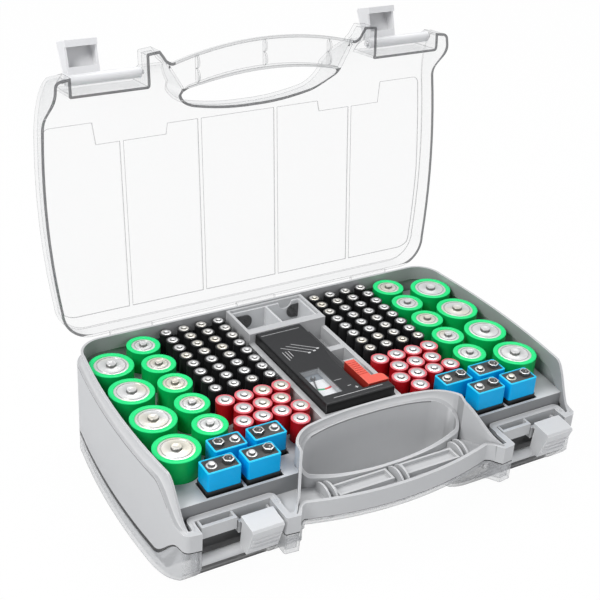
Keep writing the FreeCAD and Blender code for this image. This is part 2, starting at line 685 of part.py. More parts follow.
def lid_handle_ribs():
    """Two round lobes across the lid's handle at each pair of ribs on the case."""
    ceiling = BAND_Z + HANDLE_LID_RISE - LID_WALL
    half = HANDLE_RIB_WIDTH / 2
    lobes = []
    for x in (-HANDLE_RIB_X, 0.0, HANDLE_RIB_X):
        sag = HAND_FRONT_SAG * (x / (HAND_HALF_WIDTH - 5.0)) ** 2
        back = HAND_FRONT_Y + sag - LID_WALL
        front = bow_y(x) + LID_WALL
        radius = (back - front) / 4
        for y in (front + radius, back - radius):
            lobes.append(rod(radius, (x - half, y, ceiling), (x + half, y, ceiling)))
    hanging = Part.Compound(lobes).common(box(-REACH, REACH, -REACH, REACH, BAND_Z + 0.5, ceiling + 0.5))
    return hanging


def lid():
    """The upper lid, closed: a thin moulded cover with a hand opening, notches and recessed panels."""
    outside = lid_body(0)
    inside = lid_body(LID_WALL).cut(raised(grown(HAND, LID_WALL), 0, REACH))
    shell = outside.cut(inside).cut(raised(HAND, 0, REACH))
    shell = shell.cut(below_ledge(-LID_SEAT_GAP)).cut(lid_panels())
    shell = fuse([shell] + lid_knuckles() + lid_handle_ribs().Solids)
    bores = []
    for x in HINGE_CENTRES:
        start = x - KNUCKLE_LENGTH / 2 - 1
        end = x + KNUCKLE_LENGTH / 2 + 1
        bores.append(rod(PIN_RADIUS + RUNNING_GAP, (start, HINGE_Y, HINGE_Z), (end, HINGE_Y, HINGE_Z)))
    for notch in (-1, 1):
        start, end = sorted((notch * (NOTCH_INNER_X - 3.0), notch * (NOTCH_OUTER_X + 3.0)))
        bores.append(rod(PIN_RADIUS + RUNNING_GAP, (start, LATCH_Y, LATCH_Z), (end, LATCH_Y, LATCH_Z)))
    return shell.cut(Part.Compound(bores))


def latch(centre, notch):
    """One upper latch, snapped home: a hollow finger box on a barrel, with a hook lip at its end."""
    x0 = centre - LATCH_WIDTH / 2
    x1 = centre + LATCH_WIDTH / 2
    tip = LATCH_Z - LATCH_REACH
    catch_edge = BAND_Z - CATCH_HEIGHT
    lip_top = catch_edge - CATCH_GAP
    front_root = LATCH_Y - LATCH_ROOT_DEPTH
    front_tip = LATCH_Y - LATCH_TIP_DEPTH
    side_view = [Vector(x0, LATCH_Y, LATCH_Z - 2), Vector(x0, front_root, LATCH_Z - 2.5)]
    side_view += [Vector(x0, front_tip, tip + 1.5), Vector(x0, front_tip + 1.5, tip)]
    side_view.append(Vector(x0, LATCH_Y, tip))
    side_view.append(side_view[0])
    block = Part.Face(Part.makePolygon(side_view)).extrude(Vector(LATCH_WIDTH, 0, 0))
    hollow_x = x0 + LATCH_WALL
    root_z = LATCH_Z - LATCH_ROOT
    tip_z = tip + LATCH_TIP_WALL
    hollow_view = [Vector(hollow_x, LATCH_Y + 1, root_z), Vector(hollow_x, front_root + 3.6, root_z)]
    hollow_view += [Vector(hollow_x, front_tip + 2.2, tip_z), Vector(hollow_x, LATCH_Y + 1, tip_z)]
    hollow_view.append(hollow_view[0])
    hollow = Part.Face(Part.makePolygon(hollow_view)).extrude(Vector(LATCH_WIDTH - 2 * LATCH_WALL, 0, 0))
    lip = box(x0, x1, LATCH_Y - 0.5, LATCH_Y + HOOK_BITE, tip, lip_top)
    inner = notch * (NOTCH_INNER_X + LATCH_END_GAP)
    outer = notch * (NOTCH_OUTER_X - LATCH_END_GAP)
    barrel = rod(BARREL_RADIUS, (min(inner, outer), LATCH_Y, LATCH_Z), (max(inner, outer), LATCH_Y, LATCH_Z))
    pin_inner = notch * (NOTCH_INNER_X - LID_WALL + 0.2)
    pin_outer = notch * (NOTCH_OUTER_X + LID_WALL - 0.2)
    ends = sorted((pin_inner, pin_outer))
    pin = rod(PIN_RADIUS, (ends[0], LATCH_Y, LATCH_Z), (ends[1], LATCH_Y, LATCH_Z))
    ribs = []
    for i in range(LATCH_RIBS):
        share = 0.22 + 0.2 * i
        y = front_root + (front_tip - front_root) * share
        z = LATCH_Z - 2.5 + (tip - LATCH_Z + 4.0) * share
        ribs.append(rod(LATCH_RIB_RADIUS, (hollow_x, y, z), (x1 - LATCH_WALL, y, z)))
    return fuse([block.cut(hollow), lip, barrel, pin] + ribs)


def opened_latch(shape, angle):
    return turned(shape, LATCH_Y, LATCH_Z, -angle)


def tester_frame():
    """The well that the tester sits in, with two finger pockets and a bridge beside it."""
    top = MID + FRAME_RISE
    bottom = DECK_Z - PLATE
    floor = MID + TESTER_RISE - TESTER_HEIGHT
    front = HAND_BACK_Y + SHELL_INSET
    back = TESTER_BACK_Y + FIT_GAP
    block = box(-FRAME_X, FRAME_X, front, back, bottom, top)
    well = box(TESTER_LEFT_X - FIT_GAP, FRAME_X - FRAME_WALL, TESTER_FRONT_Y - FIT_GAP, back, floor, top + 1)
    block = block.cut(well)
    x1 = FRAME_X - FRAME_WALL
    bridges = [box(RAIL_X + FIT_GAP, x1, 12.0, 18.0, floor, top - 0.5)]
    bridges.append(box(22.0, x1, TESTER_FRONT_Y + TESTER_ARM_DEPTH + 1, -2.0, floor, top - 2.0))
    return fuse([block] + bridges)


def tray_frame():
    top = MID + TRAY_RISE
    bottom = DECK_Z - PLATE
    back = BACK_Y - SHELL_INSET
    frame = box(-FRAME_X + 0.5, FRAME_X - 0.5, TESTER_BACK_Y + FIT_GAP + SEAT_GAP, back, bottom, top)
    inner_x = FRAME_X - 2.5
    return frame.cut(box(-inner_x, inner_x, TRAY_FRONT_Y, back - 1.8, DECK_Z, top + 1))


def cell_tray():
    """The clear lift-out tray for button cells: two bays and a finger scoop at two corners."""
    top = MID + TRAY_RISE - 2.0
    x1 = FRAME_X - 2.5 - FIT_GAP
    y0 = TRAY_FRONT_Y + FIT_GAP
    y1 = BACK_Y - SHELL_INSET - 1.8 - FIT_GAP
    bottom = DECK_Z + 0.3
    tray = box(-x1, x1, y0, y1, bottom, top)
    for left, right in ((-x1 + TRAY_WALL, -TRAY_WALL / 2), (TRAY_WALL / 2, x1 - TRAY_WALL)):
        tray = tray.cut(box(left, right, y0 + TRAY_WALL, y1 - TRAY_WALL, bottom + TRAY_WALL, top + 1))
    scoops = [rod(6.0, (-x1 + 14.0, y0 - 1, top), (-x1 + 14.0, y0 + 4, top))]
    scoops.append(rod(6.0, (x1 - 14.0, y1 - 4, top), (x1 - 14.0, y1 + 1, top)))
    return tray.cut(Part.Compound(scoops))


TESTER_Z0 = MID + TESTER_RISE - TESTER_HEIGHT + 0.3
TESTER_Z1 = MID + TESTER_RISE
WINDOW = (-26.0, -9.7, -50.5, -16.0)
NEEDLE_X = -17.8
NEEDLE_Y = -22.0
NEEDLE_LENGTH = 20.0
NEEDLE_WIDTH = 0.8
HUB_RADIUS = 1.0


def tester_case():
    """The tester's housing: a tapered bar with a fixed arm at its front end and a meter well."""
    corner = [(TESTER_LEFT_X, TESTER_FRONT_Y), (TESTER_ARM_X, TESTER_FRONT_Y)]
    corner += [(TESTER_ARM_X, TESTER_FRONT_Y + TESTER_ARM_DEPTH)]
    corner += [(TESTER_RIGHT_X - 3.5, TESTER_FRONT_Y + TESTER_ARM_DEPTH), (TESTER_RIGHT_X - 3.5, -8.0)]
    corner += [(TESTER_RIGHT_X, 10.0), (TESTER_RIGHT_X, TESTER_BACK_Y), (TESTER_LEFT_X, TESTER_BACK_Y)]
    outline = [Vector(x, y, TESTER_Z0) for x, y in corner]
    outline.append(outline[0])
    housing = Part.Face(Part.makePolygon(outline)).extrude(Vector(0, 0, TESTER_Z1 - TESTER_Z0))
    rim = [e for e in housing.Edges if e.BoundBox.ZMin > TESTER_Z1 - 0.1]
    housing = housing.makeFillet(TESTER_EDGE_ROUND, rim)
    x0, x1, y0, y1 = WINDOW
    return housing.cut(box(x0, x1, y0, y1, TESTER_Z1 - DIAL_DROP - 1.0, TESTER_Z1 + 1))


def tester_dial():
    x0, x1, y0, y1 = WINDOW
    dial_z = TESTER_Z1 - DIAL_DROP
    plate = box(x0 + 0.2, x1 - 0.2, y0 + 0.2, y1 - 0.2, dial_z - 1.0, dial_z)
    hub = rod(HUB_RADIUS, (NEEDLE_X, NEEDLE_Y, dial_z), (NEEDLE_X, NEEDLE_Y, dial_z + 2.4))
    return fuse([plate, hub])


def tester_window():
    x0, x1, y0, y1 = WINDOW
    return box(x0 + 0.2, x1 - 0.2, y0 + 0.2, y1 - 0.2, TESTER_Z1 - 2.0, TESTER_Z1 - 0.6)


def tester_needle():
    dial_z = TESTER_Z1 - DIAL_DROP
    half = NEEDLE_WIDTH / 2
    hub = rod(2 * HUB_RADIUS, (NEEDLE_X, NEEDLE_Y, dial_z + 0.6), (NEEDLE_X, NEEDLE_Y, dial_z + 1.8))
    tip = NEEDLE_Y - NEEDLE_LENGTH
    hand = box(NEEDLE_X - half, NEEDLE_X + half, tip, NEEDLE_Y, dial_z + 0.8, dial_z + 1.4)
    needle = fuse([hub, hand])
    low, high = (NEEDLE_X, NEEDLE_Y, TESTER_Z1 - 6), (NEEDLE_X, NEEDLE_Y, TESTER_Z1)
    needle = needle.cut(rod(HUB_RADIUS + RUNNING_GAP, low, high))
    needle.rotate(Vector(NEEDLE_X, NEEDLE_Y, 0), Vector(0, 0, 1), -18)
    return needle


def tester_slider():
    """The ribbed slider that clamps a cell against the fixed arm, with its foot above the bridge."""
    z0 = MID + FRAME_RISE + 0.6
    z1 = TESTER_Z1 + 1.0
    y0 = TESTER_FRONT_Y + TESTER_ARM_DEPTH + 0.5
    arm = box(SLIDER_X, SLIDER_X + SLIDER_WIDTH, y0, y0 + SLIDER_LENGTH, z0, z1)
    foot = box(SLIDER_X, SLIDER_FOOT_X, y0, y0 + SLIDER_FOOT_DEPTH, z0, z1)
    corner = [e for e in foot.Edges if e.BoundBox.XMin > SLIDER_FOOT_X - 0.1]
    corner = [e for e in corner if e.BoundBox.YMin > y0 + SLIDER_FOOT_DEPTH - 0.1]
    foot = foot.makeFillet(4.0, corner)
    ribs = []
    for i in range(SLIDER_RIBS):
        y = y0 + 14.0 + SLIDER_RIB_PITCH * i
        ribs.append(rod(0.7, (SLIDER_X + 0.5, y, z1), (SLIDER_X + SLIDER_WIDTH - 0.5, y, z1)))
    return fuse([arm, foot] + ribs)


def tester_rail():
    """The rail on the housing's side that the slider runs along."""
    rail_z = MID + FRAME_RISE + 0.3
    front, back = RAIL_ENDS_Y
    return box(TESTER_RIGHT_X + SEAT_GAP, RAIL_X, front, back, rail_z - RAIL_THICK, rail_z)


def round_cell(cell, x, y):
    radius, length, rise, nub_radius, nub_height = cell
    bottom = cell_bottom(cell)
    return Part.makeCylinder(radius, MID + rise - bottom, Vector(x, y, bottom))


def large_cell(cell, x, y):
    """A jacket with a rolled rim and a dished top for its steel cap."""
    radius, length, rise, nub_radius, nub_height = cell
    top = MID + rise
    jacket = round_cell(cell, x, y)
    return jacket.cut(Part.makeCylinder(radius - CAP_RIM, CAP_DISH, Vector(x, y, top - CAP_DISH)))


def large_cap(cell, x, y):
    radius, length, rise, nub_radius, nub_height = cell
    top = MID + rise
    disc_top = top - CAP_DISH + CAP_THICK
    disc = Part.makeCylinder(radius - CAP_RIM - SEAT_GAP, CAP_THICK, Vector(x, y, top - CAP_DISH))
    post = Part.makeCylinder(nub_radius, top + nub_height - disc_top, Vector(x, y, disc_top))
    return disc.fuse(post)


def small_cell(cell, x, y):
    """A slim cell: a many-sided post, because there are so many, with its nub."""
    radius, length, rise, nub_radius, nub_height = cell
    top = MID + rise
    post = prism(SMALL_SIDES, radius, x, y, cell_bottom(cell), top)
    return post.fuse(prism(NUB_SIDES, nub_radius, x, y, top, top + nub_height)).removeSplitter()


def nine_volt_parts():
    width, depth, length, rise = NINE_VOLT
    top = MID + rise
    bottom = top - length
    split = bottom + NINE_VOLT_BAND
    jackets = []
    bands = []
    studs = []
    for (x, y), hex_left in zip(NINE_PLACES, HEX_ON_LEFT):
        jackets.append(cornered_block(x, y, width, depth, 1.6, split, top))
        half = width / 2 + NINE_VOLT_BASE_STEP
        front = y - depth / 2 - NINE_VOLT_BASE_STEP
        bands.append(box(x - half, x + half, front, y + depth / 2, bottom, split))
        side = -1 if hex_left else 1
        studs.append(prism(SMALL_SIDES, STUD_RADIUS, x - side * STUD_X, y, top, top + STUD_HEIGHT))
        crown_x = x + side * STUD_X
        crown = prism(6, CROWN_RADIUS, crown_x, y, top, top + CROWN_HEIGHT)
        studs.append(crown.cut(prism(6, CROWN_BORE, crown_x, y, top + CROWN_FLOOR, top + CROWN_HEIGHT + 1)))
    return jackets, bands, studs


# Case body
write("case_shell", case_shell())
write("deck_left", deck(-1))
write("deck_right", deck(1))
write("case_floor", case_floor())
write("cell_rests", cell_rests())
write("handle_core", handle_core())
write("latch_catches", latch_catches())
write("hinge_lugs", hinge_lugs())
write("hinge_pins", hinge_pins())
write("tester_frame", tester_frame())
write("tray_frame", tray_frame())

# Lids and latches. The upper lid stands open with its latches turned back; the lower lid is closed.
closed_lid = lid()
write("upper_lid", turned(closed_lid, HINGE_Y, HINGE_Z, -LID_OPEN))
write("lower_lid", flipped(closed_lid))
for name, x in (("left", -LATCH_OUTER_X), ("right", LATCH_INNER_X)):
    home = latch(x, math.copysign(1, x))
    free = opened_latch(home, LATCH_OPEN + LATCH_SLACK)
    write("upper_latch_" + name, turned(free, HINGE_Y, HINGE_Z, -LID_OPEN))
for name, x in (("left", LATCH_INNER_X), ("right", -LATCH_OUTER_X)):
    home = latch(x, math.copysign(1, x))
    write("lower_latch_" + name, flipped(opened_latch(home, LATCH_SLACK)))

# Tester and tray
write("tester_case", tester_case())
write("tester_dial", tester_dial())
write("tester_window", tester_window())
write("tester_needle", tester_needle())
write("tester_rail", tester_rail())
write("tester_slider", tester_slider())
write("cell_tray", cell_tray())

# Cells
write("d_cells", [large_cell(D_CELL, x, y) for x, y in D_PLACES])
write("d_caps", [large_cap(D_CELL, x, y) for x, y in D_PLACES])
write("c_cells", [large_cell(C_CELL, x, y) for x, y in C_PLACES])
write("c_caps", [large_cap(C_CELL, x, y) for x, y in C_PLACES])
write("aa_cells", [small_cell(AA_CELL, x, y) for x, y in AA_PLACES])
write("aaa_cells", [small_cell(AAA_CELL, x, y) for x, y in AAA_PLACES])
jackets, bands, studs = nine_volt_parts()
write("nine_volt_cells", jackets)
write("nine_volt_bands", bands)
write("nine_volt_studs", studs)
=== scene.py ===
import bpy
import bmesh
import math
from mathutils import Matrix, Vector


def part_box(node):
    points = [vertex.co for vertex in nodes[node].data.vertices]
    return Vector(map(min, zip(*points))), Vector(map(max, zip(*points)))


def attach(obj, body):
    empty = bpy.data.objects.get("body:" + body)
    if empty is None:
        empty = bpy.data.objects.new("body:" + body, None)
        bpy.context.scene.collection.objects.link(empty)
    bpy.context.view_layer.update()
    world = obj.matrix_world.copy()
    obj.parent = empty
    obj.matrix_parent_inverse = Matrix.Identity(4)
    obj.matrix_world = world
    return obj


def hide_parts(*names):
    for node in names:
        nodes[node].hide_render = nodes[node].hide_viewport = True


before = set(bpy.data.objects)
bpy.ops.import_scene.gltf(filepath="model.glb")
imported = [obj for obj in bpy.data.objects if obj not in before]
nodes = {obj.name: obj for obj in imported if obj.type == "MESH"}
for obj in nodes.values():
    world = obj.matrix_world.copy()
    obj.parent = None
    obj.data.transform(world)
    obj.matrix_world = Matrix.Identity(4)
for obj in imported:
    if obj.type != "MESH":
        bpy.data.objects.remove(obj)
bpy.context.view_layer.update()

MM = 0.001
bpy.ops.object.select_all(action="DESELECT")

# Case body: wall, ledge and lips, decks, floor, handle bar, catches, hinge ears and the two centre frames.
# Injection-moulded light grey polypropylene with a fine satin grain and a painted highlight along its
# corners, moulded in a few shells that clip into each other.


class Value:
    """A socket that varies over a surface, with the arithmetic that the finishes need."""

    def __init__(self, finish, socket):
        self.finish = finish
        self.socket = socket

    def joined(self, operation, first, second):
        settings = {"operation": operation}
        return self.finish.value("ShaderNodeMath", settings, {0: first, 1: second})

    def __add__(self, other):
        return self.joined("ADD", self, other)

    def __radd__(self, other):
        return self.joined("ADD", other, self)

    def __sub__(self, other):
        return self.joined("SUBTRACT", self, other)

    def __rsub__(self, other):
        return self.joined("SUBTRACT", other, self)

    def __mul__(self, other):
        return self.joined("MULTIPLY", self, other)

    def __rmul__(self, other):
        return self.joined("MULTIPLY", other, self)

    def __truediv__(self, other):
        return self.joined("DIVIDE", self, other)

    def over(self, level):
        return self.joined("GREATER_THAN", self, level)

    def under(self, level):
        return self.joined("LESS_THAN", self, level)

    def power(self, exponent):
        return self.joined("POWER", self, exponent)

    def at_most(self, level):
        return self.joined("MINIMUM", self, level)

    def at_least(self, level):
        return self.joined("MAXIMUM", self, level)

    def size(self):
        return self.joined("ABSOLUTE", self, 0.0)

    def length_with(self, other):
        return (self * self + other * other).power(0.5)


class Finish:
    """A material built from nodes; whatever varies reads the place on the object."""

    def __init__(self, name):
        self.material = bpy.data.materials.new(name)
        self.material.use_nodes = True
        self.tree = self.material.node_tree
        self.shader = self.tree.nodes["Principled BSDF"]
        place = self.node("ShaderNodeTexCoord")
        self.place = place.outputs["Object"]

    def node(self, kind, settings=None, inputs=None):
        made = self.tree.nodes.new(kind)
        for key, setting in (settings or {}).items():
            setattr(made, key, setting)
        for key, given in (inputs or {}).items():
            self.feed(made.inputs[key], given)
        return made

    def feed(self, socket, given):
        if isinstance(given, Value):
            self.tree.links.new(given.socket, socket)
        elif isinstance(given, bpy.types.NodeSocket):
            self.tree.links.new(given, socket)
        else:
            socket.default_value = given

    def value(self, kind, settings=None, inputs=None, output=0):
        return Value(self, self.node(kind, settings, inputs).outputs[output])

    def noise(self, scale, detail=3.0, roughness=0.55):
        inputs = {"Vector": self.place, "Scale": scale, "Detail": detail, "Roughness": roughness}
        return self.value("ShaderNodeTexNoise", None, inputs)

    def axes(self):
        split = self.node("ShaderNodeSeparateXYZ", None, {"Vector": self.place})
        return [Value(self, split.outputs[i]) for i in range(3)]

    def normal_axes(self):
        upright = self.node("ShaderNodeTexCoord").outputs["Normal"]
        split = self.node("ShaderNodeSeparateXYZ", None, {"Vector": upright})
        return [Value(self, split.outputs[i]) for i in range(3)]

    def between(self, mask, low, high):
        settings = {"data_type": "RGBA"}
        mixed = self.node("ShaderNodeMix", settings)
        self.feed(mixed.inputs[0], mask)
        self.feed(mixed.inputs[6], low)
        self.feed(mixed.inputs[7], high)
        return mixed.outputs[2]

    def corner(self, width):
        """Up to 1 along sharp corners and 0 on the flats: how far a rounded normal leaves the true one."""
        rounded = self.node("ShaderNodeBevel", {"samples": 6}, {"Radius": width}).outputs["Normal"]
        true = self.node("ShaderNodeNewGeometry").outputs["True Normal"]
        settings = {"operation": "DOT_PRODUCT"}
        agree = self.value("ShaderNodeVectorMath", settings, {0: rounded, 1: true}, "Value")
        return ((1.0 - agree.size()) * 3.2).at_most(1.0)

    def bump(self, height, strength, distance):
        inputs = {"Height": height, "Strength": strength, "Distance": distance}
        return self.node("ShaderNodeBump", None, inputs).outputs["Normal"]

    def surface(self, **sockets):
        for key, given in sockets.items():
            self.feed(self.shader.inputs[key.replace("_", " ")], given)
        return self.material


CORNER_WIDTH = 0.9 * MM
GRAIN_STRENGTH = 0.12
GRAIN_DEPTH = 0.2 * MM


def moulded(name, colour, roughness, grain, edge, worked=None, marked=None):
    """Satin moulded plastic: faint cloudiness, a fine even grain, and a painted highlight along the
    corners.
    What is worked in lies under the pale corners, and what is marked lies over them."""
    finish = Finish(name)
    cloud = finish.noise(14.0, 4.0)
    fine = finish.noise(grain, 2.0)
    deep = tuple(c * 0.94 for c in colour[:3]) + (1.0,)
    pale = tuple(min(0.9, c * 1.04) for c in colour[:3]) + (1.0,)
    flat = finish.between(cloud, deep, pale)
    if worked:
        flat = worked(finish, flat)
    shade = finish.between(finish.corner(CORNER_WIDTH), flat, edge)
    if marked:
        shade = marked(finish, shade)
    normal = finish.bump(fine, GRAIN_STRENGTH, GRAIN_DEPTH)
    rough = roughness - 0.05 + fine * 0.1
    return finish.surface(Base_Color=shade, Roughness=rough, Normal=normal)


def dress(names, material):
    """Put one material on CAD nodes."""
    for name in names:
        for slot in nodes[name].material_slots:
            slot.material = material


def give(piece, material, body, node):
    """Finish a new piece, hang it on its body's empty, and hide the node it stands in for."""
    piece.data.materials.clear()
    piece.data.materials.append(material)
    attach(piece, body)
    if node:
        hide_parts(node)


def cut_block(piece, low, high):
    """Saw a rectangular block out of a piece."""
    bpy.ops.object.select_all(action="DESELECT")
    middle = [(a + b) / 2 * MM for a, b in zip(low, high)]
    size = [(b - a) * MM for a, b in zip(low, high)]
    bpy.ops.mesh.primitive_cube_add(size=1, location=middle, scale=size)
    cutter = bpy.context.object
    bpy.ops.object.transform_apply(location=True, rotation=True, scale=True)
    bpy.context.view_layer.objects.active = piece
    bpy.ops.object.modifier_add(type="BOOLEAN")
    saw = piece.modifiers[-1]
    saw.operation = "DIFFERENCE"
    saw.object = cutter
    bpy.ops.object.modifier_apply(modifier=saw.name)
    bpy.data.objects.remove(cutter)


CASE_GREY = (0.55, 0.555, 0.56, 1.0)
# The edge colour is a painted highlight along the corners.
CASE_EDGE = (0.78, 0.78, 0.78, 1.0)
case_finish = moulded("case_plastic", CASE_GREY, 0.42, 1600.0, CASE_EDGE)
# Painted shade: the decks get a darker copy of the case's plastic, as shade among the cells.
DECK_SHADED_GREY = (0.42, 0.425, 0.43, 1.0)
DECK_FRONT_LIT = (0.62, 0.625, 0.63, 1.0)
DECK_SIDE_SHADE = (0.27, 0.275, 0.28, 1.0)
STRIP_BACK_Y = -84.0 * MM
STRIP_FADE = 12.0 * MM


def deck_shade(finish, flat):
    """Painted light: the open strip in front of the cells is painted paler, as lit, and the drops at its
    edge are painted darker, as shade.
    """
    y = finish.axes()[1]
    upright = finish.normal_axes()[2].size()
    front = ((STRIP_BACK_Y - y) / STRIP_FADE).at_least(0.0).at_most(1.0)
    return finish.between(upright, DECK_SIDE_SHADE, finish.between(front, flat, DECK_FRONT_LIT))


deck_finish = moulded("deck_plastic", DECK_SHADED_GREY, 0.45, 1500.0, CASE_EDGE, deck_shade)
dress(["deck_left", "deck_right"], deck_finish)
dress(["case_floor", "cell_rests", "handle_core"], case_finish)
dress(["latch_catches", "hinge_lugs", "tester_frame", "tray_frame"], case_finish)

# Outer wall: the case's moulded shell, whose inner lip stops level with the front band behind both latch
# notches, so that the deck's front shows over it. The same polypropylene as the decks.
LEDGE_Z = 78.0 * MM
BAND_Z = 54.5 * MM
CASE_THICKNESS = 95.0
CASE_TOP_Z = CASE_THICKNESS * MM
CURVE_FRONT_Y = -106.0 * MM
CURVE_RUN = 32.0 * MM
SIDES_FRONT_Y = -104.0 * MM
SIDES_FADE = 30.0 * MM
# Painted shade: a darker inside wall, shadow lines under the ledge's edge and in the joint with the lower
# lid, and shade in the hollows behind the latches.
INNER_SHADE = (0.38, 0.385, 0.39, 1.0)
EDGE_SHADOW = (0.27, 0.27, 0.275, 1.0)
JOINT_SHADOW = (0.03, 0.03, 0.03, 1.0)
HOLLOW_SHADE = (0.13, 0.13, 0.13, 1.0)
INWARD = -20.0 * MM
OUTWARD = 60.0 * MM
STEEP = 0.3
EDGE_LINE = 1.3 * MM
EDGE_LINE_FRONT_Y = -92.0 * MM
JOINT_LINE = 1.7 * MM
HOLLOW_X = (97.5 * MM, 153.5 * MM)
HOLLOW_Y = (-104.0 * MM, -98.0 * MM)
HOLLOW_Z = (1.0 * MM, 45.0 * MM)


def seat_height(y):
    """Where a lid lands on the ledge: high at the back, falling in a smooth curve to the front band."""
    along = ((y - CURVE_FRONT_Y) / CURVE_RUN).at_least(0.0).at_most(1.0)
    return along * along * (3.0 - 2.0 * along) * (LEDGE_Z - BAND_Z) + BAND_Z


def along_sides(y):
    """1 along the case's sides, falling to 0 where they curve into the front."""
    return ((y - SIDES_FRONT_Y) / SIDES_FADE).at_least(0.0).at_most(1.0)


def wall_shade(finish, flat):
    """Painted shade: darker on the inside faces, where shade falls between the cells."""
    x, y = finish.axes()[:2]
    across, along = finish.normal_axes()[:2]
    inner = (x * across + y * along).under(INWARD)
    return finish.between(inner, flat, INNER_SHADE)


def latch_hollow(x, y, z):
    """The back of both latch notches, below the catches."""
    beside = x.size().over(HOLLOW_X[0]) * x.size().under(HOLLOW_X[1])
    behind = y.over(HOLLOW_Y[0]) * y.under(HOLLOW_Y[1])
    return beside * behind * z.under(HOLLOW_Z[1]) * z.over(HOLLOW_Z[0])


def wall_shadows(finish, shade):
    """Painted shadows: a shadow line under the ledge's edge and one in the joint with the lower lid, and
    painted shade in the hollows behind the latches. They are painted by place, so they stay on the wall
    when a lid or latch moves."""
    x, y, z = finish.axes()
    across, along, upright = finish.normal_axes()
    seat = seat_height(y)
    outer = (x * across + y * along).over(OUTWARD) * upright.size().under(STEEP)
    under_edge = (seat - z).over(0.0) * (seat - z).under(EDGE_LINE) * y.over(EDGE_LINE_FRONT_Y)
    joint = (z - (CASE_TOP_Z - seat)).under(along_sides(y) * JOINT_LINE)
    lined = finish.between(under_edge * outer, shade, EDGE_SHADOW)
    lined = finish.between(joint * outer, lined, JOINT_SHADOW)
    return finish.between(latch_hollow(x, y, z), lined, HOLLOW_SHADE)


NOTCH_WALL_TOP = 55.6
NOTCH_LIP = ((90.6, 160.3), (-135.0, -94.0))
ABOVE_CASE = 120.0
BELOW_CASE = -25.0
SHARPEST_SMOOTH = math.radians(24)
wall = bpy.data.objects.new("case_wall", nodes["case_shell"].data.copy())
bpy.context.collection.objects.link(wall)
(lip_near, lip_far), (lip_front, lip_back) = NOTCH_LIP
for start, end in ((lip_near, lip_far), (-lip_far, -lip_near)):
    cut_block(wall, (start, lip_front, NOTCH_WALL_TOP), (end, lip_back, ABOVE_CASE))
    cut_block(wall, (start, lip_front, BELOW_CASE), (end, lip_back, CASE_THICKNESS - NOTCH_WALL_TOP))
bpy.ops.object.select_all(action="DESELECT")
wall.select_set(True)
bpy.context.view_layer.objects.active = wall
bpy.ops.object.shade_smooth_by_angle(angle=SHARPEST_SMOOTH)
wall_finish = moulded("wall_plastic", CASE_GREY, 0.42, 1600.0, CASE_EDGE, wall_shade, wall_shadows)
give(wall, wall_finish, "case", "case_shell")

# Hinge pins: drawn steel wire, pushed through the ears and the lids' knuckles.
# They are bright, with faint lines round them.
PIN_STEEL = (0.6, 0.6, 0.6, 1.0)
DRAWN_GRAIN = (900.0, 60.0, 60.0)


def drawn_steel(name, colour, roughness):
    """Bare wire whose fine lines run round it."""
    finish = Finish(name)
    stretch = finish.node("ShaderNodeMapping", None, {"Vector": finish.place, "Scale": DRAWN_GRAIN})
    grain = {"Vector": stretch.outputs[0], "Scale": 1.0, "Detail": 2.0}
    lines = finish.value("ShaderNodeTexNoise", None, grain)
    deep = tuple(c * 0.85 for c in colour[:3]) + (1.0,)
    shade = finish.between(lines, deep, colour)
    rough = roughness - 0.06 + lines * 0.12
    return finish.surface(Base_Color=shade, Roughness=rough, Metallic=1.0)


dress(["hinge_pins"], drawn_steel("pin_steel", PIN_STEEL, 0.3))

# Lids: two thin covers of clear styrene, moulded in one piece each with their hinge knuckles.
# They look almost bare face on, and grey along walls and edges, where the eye looks along the plastic.
CLEAR_TINT = (0.55, 0.56, 0.57, 1.0)
# The lines are painted dark: along corners and outlines, and as a shadow where each lid seats.
CLEAR_LINE = (0.12, 0.12, 0.125, 1.0)
OVER_TINT = (0.68, 0.69, 0.70, 1.0)
SHADE_LINE = (0.006, 0.006, 0.006, 1.0)
HINGE_Y = 98.75 * MM
HINGE_Z = 77.0 * MM
LID_OPEN = math.radians(96.5)
SEAT_BACK_Y = 91.0 * MM
UPPER_SEAT_LINE = 0.8 * MM
LOWER_SEAT_LINE = 0.9 * MM
LOWER_SIDE_LINE = 1.2 * MM
HANDLE_HALF_X = 75.0 * MM
HANDLE_BACK_Y = -96.0 * MM
LID_CORNER = 1.1 * MM
HOLLOW_COVER = 0.5
MOST_COVER = 0.96


def seat_line(x, y, z, half_width):
    """1 close to the seat, and fainter across the handle."""
    handle = x.size().under(HANDLE_HALF_X) * y.under(HANDLE_BACK_Y)
    return (z - seat_height(y)).size().under(half_width) * (1.0 - handle * 0.6)


def upper_seat(finish):
    """Near 1 along the upper lid's seating edge, found in the lid's own closed position."""
    x, y, z = finish.axes()
    back = y - HINGE_Y
    rise = z - HINGE_Z
    closed_y = back * math.cos(LID_OPEN) - rise * math.sin(LID_OPEN) + HINGE_Y
    closed_z = back * math.sin(LID_OPEN) + rise * math.cos(LID_OPEN) + HINGE_Z
    return seat_line(x, closed_y, closed_z, UPPER_SEAT_LINE) * closed_y.under(SEAT_BACK_Y)


def lower_seat(finish):
    """The same along the lower lid, which rests closed; its line is wider along the sides."""
    x, y, z = finish.axes()
    return seat_line(x, y, CASE_TOP_Z - z, along_sides(y) * LOWER_SIDE_LINE + LOWER_SEAT_LINE)


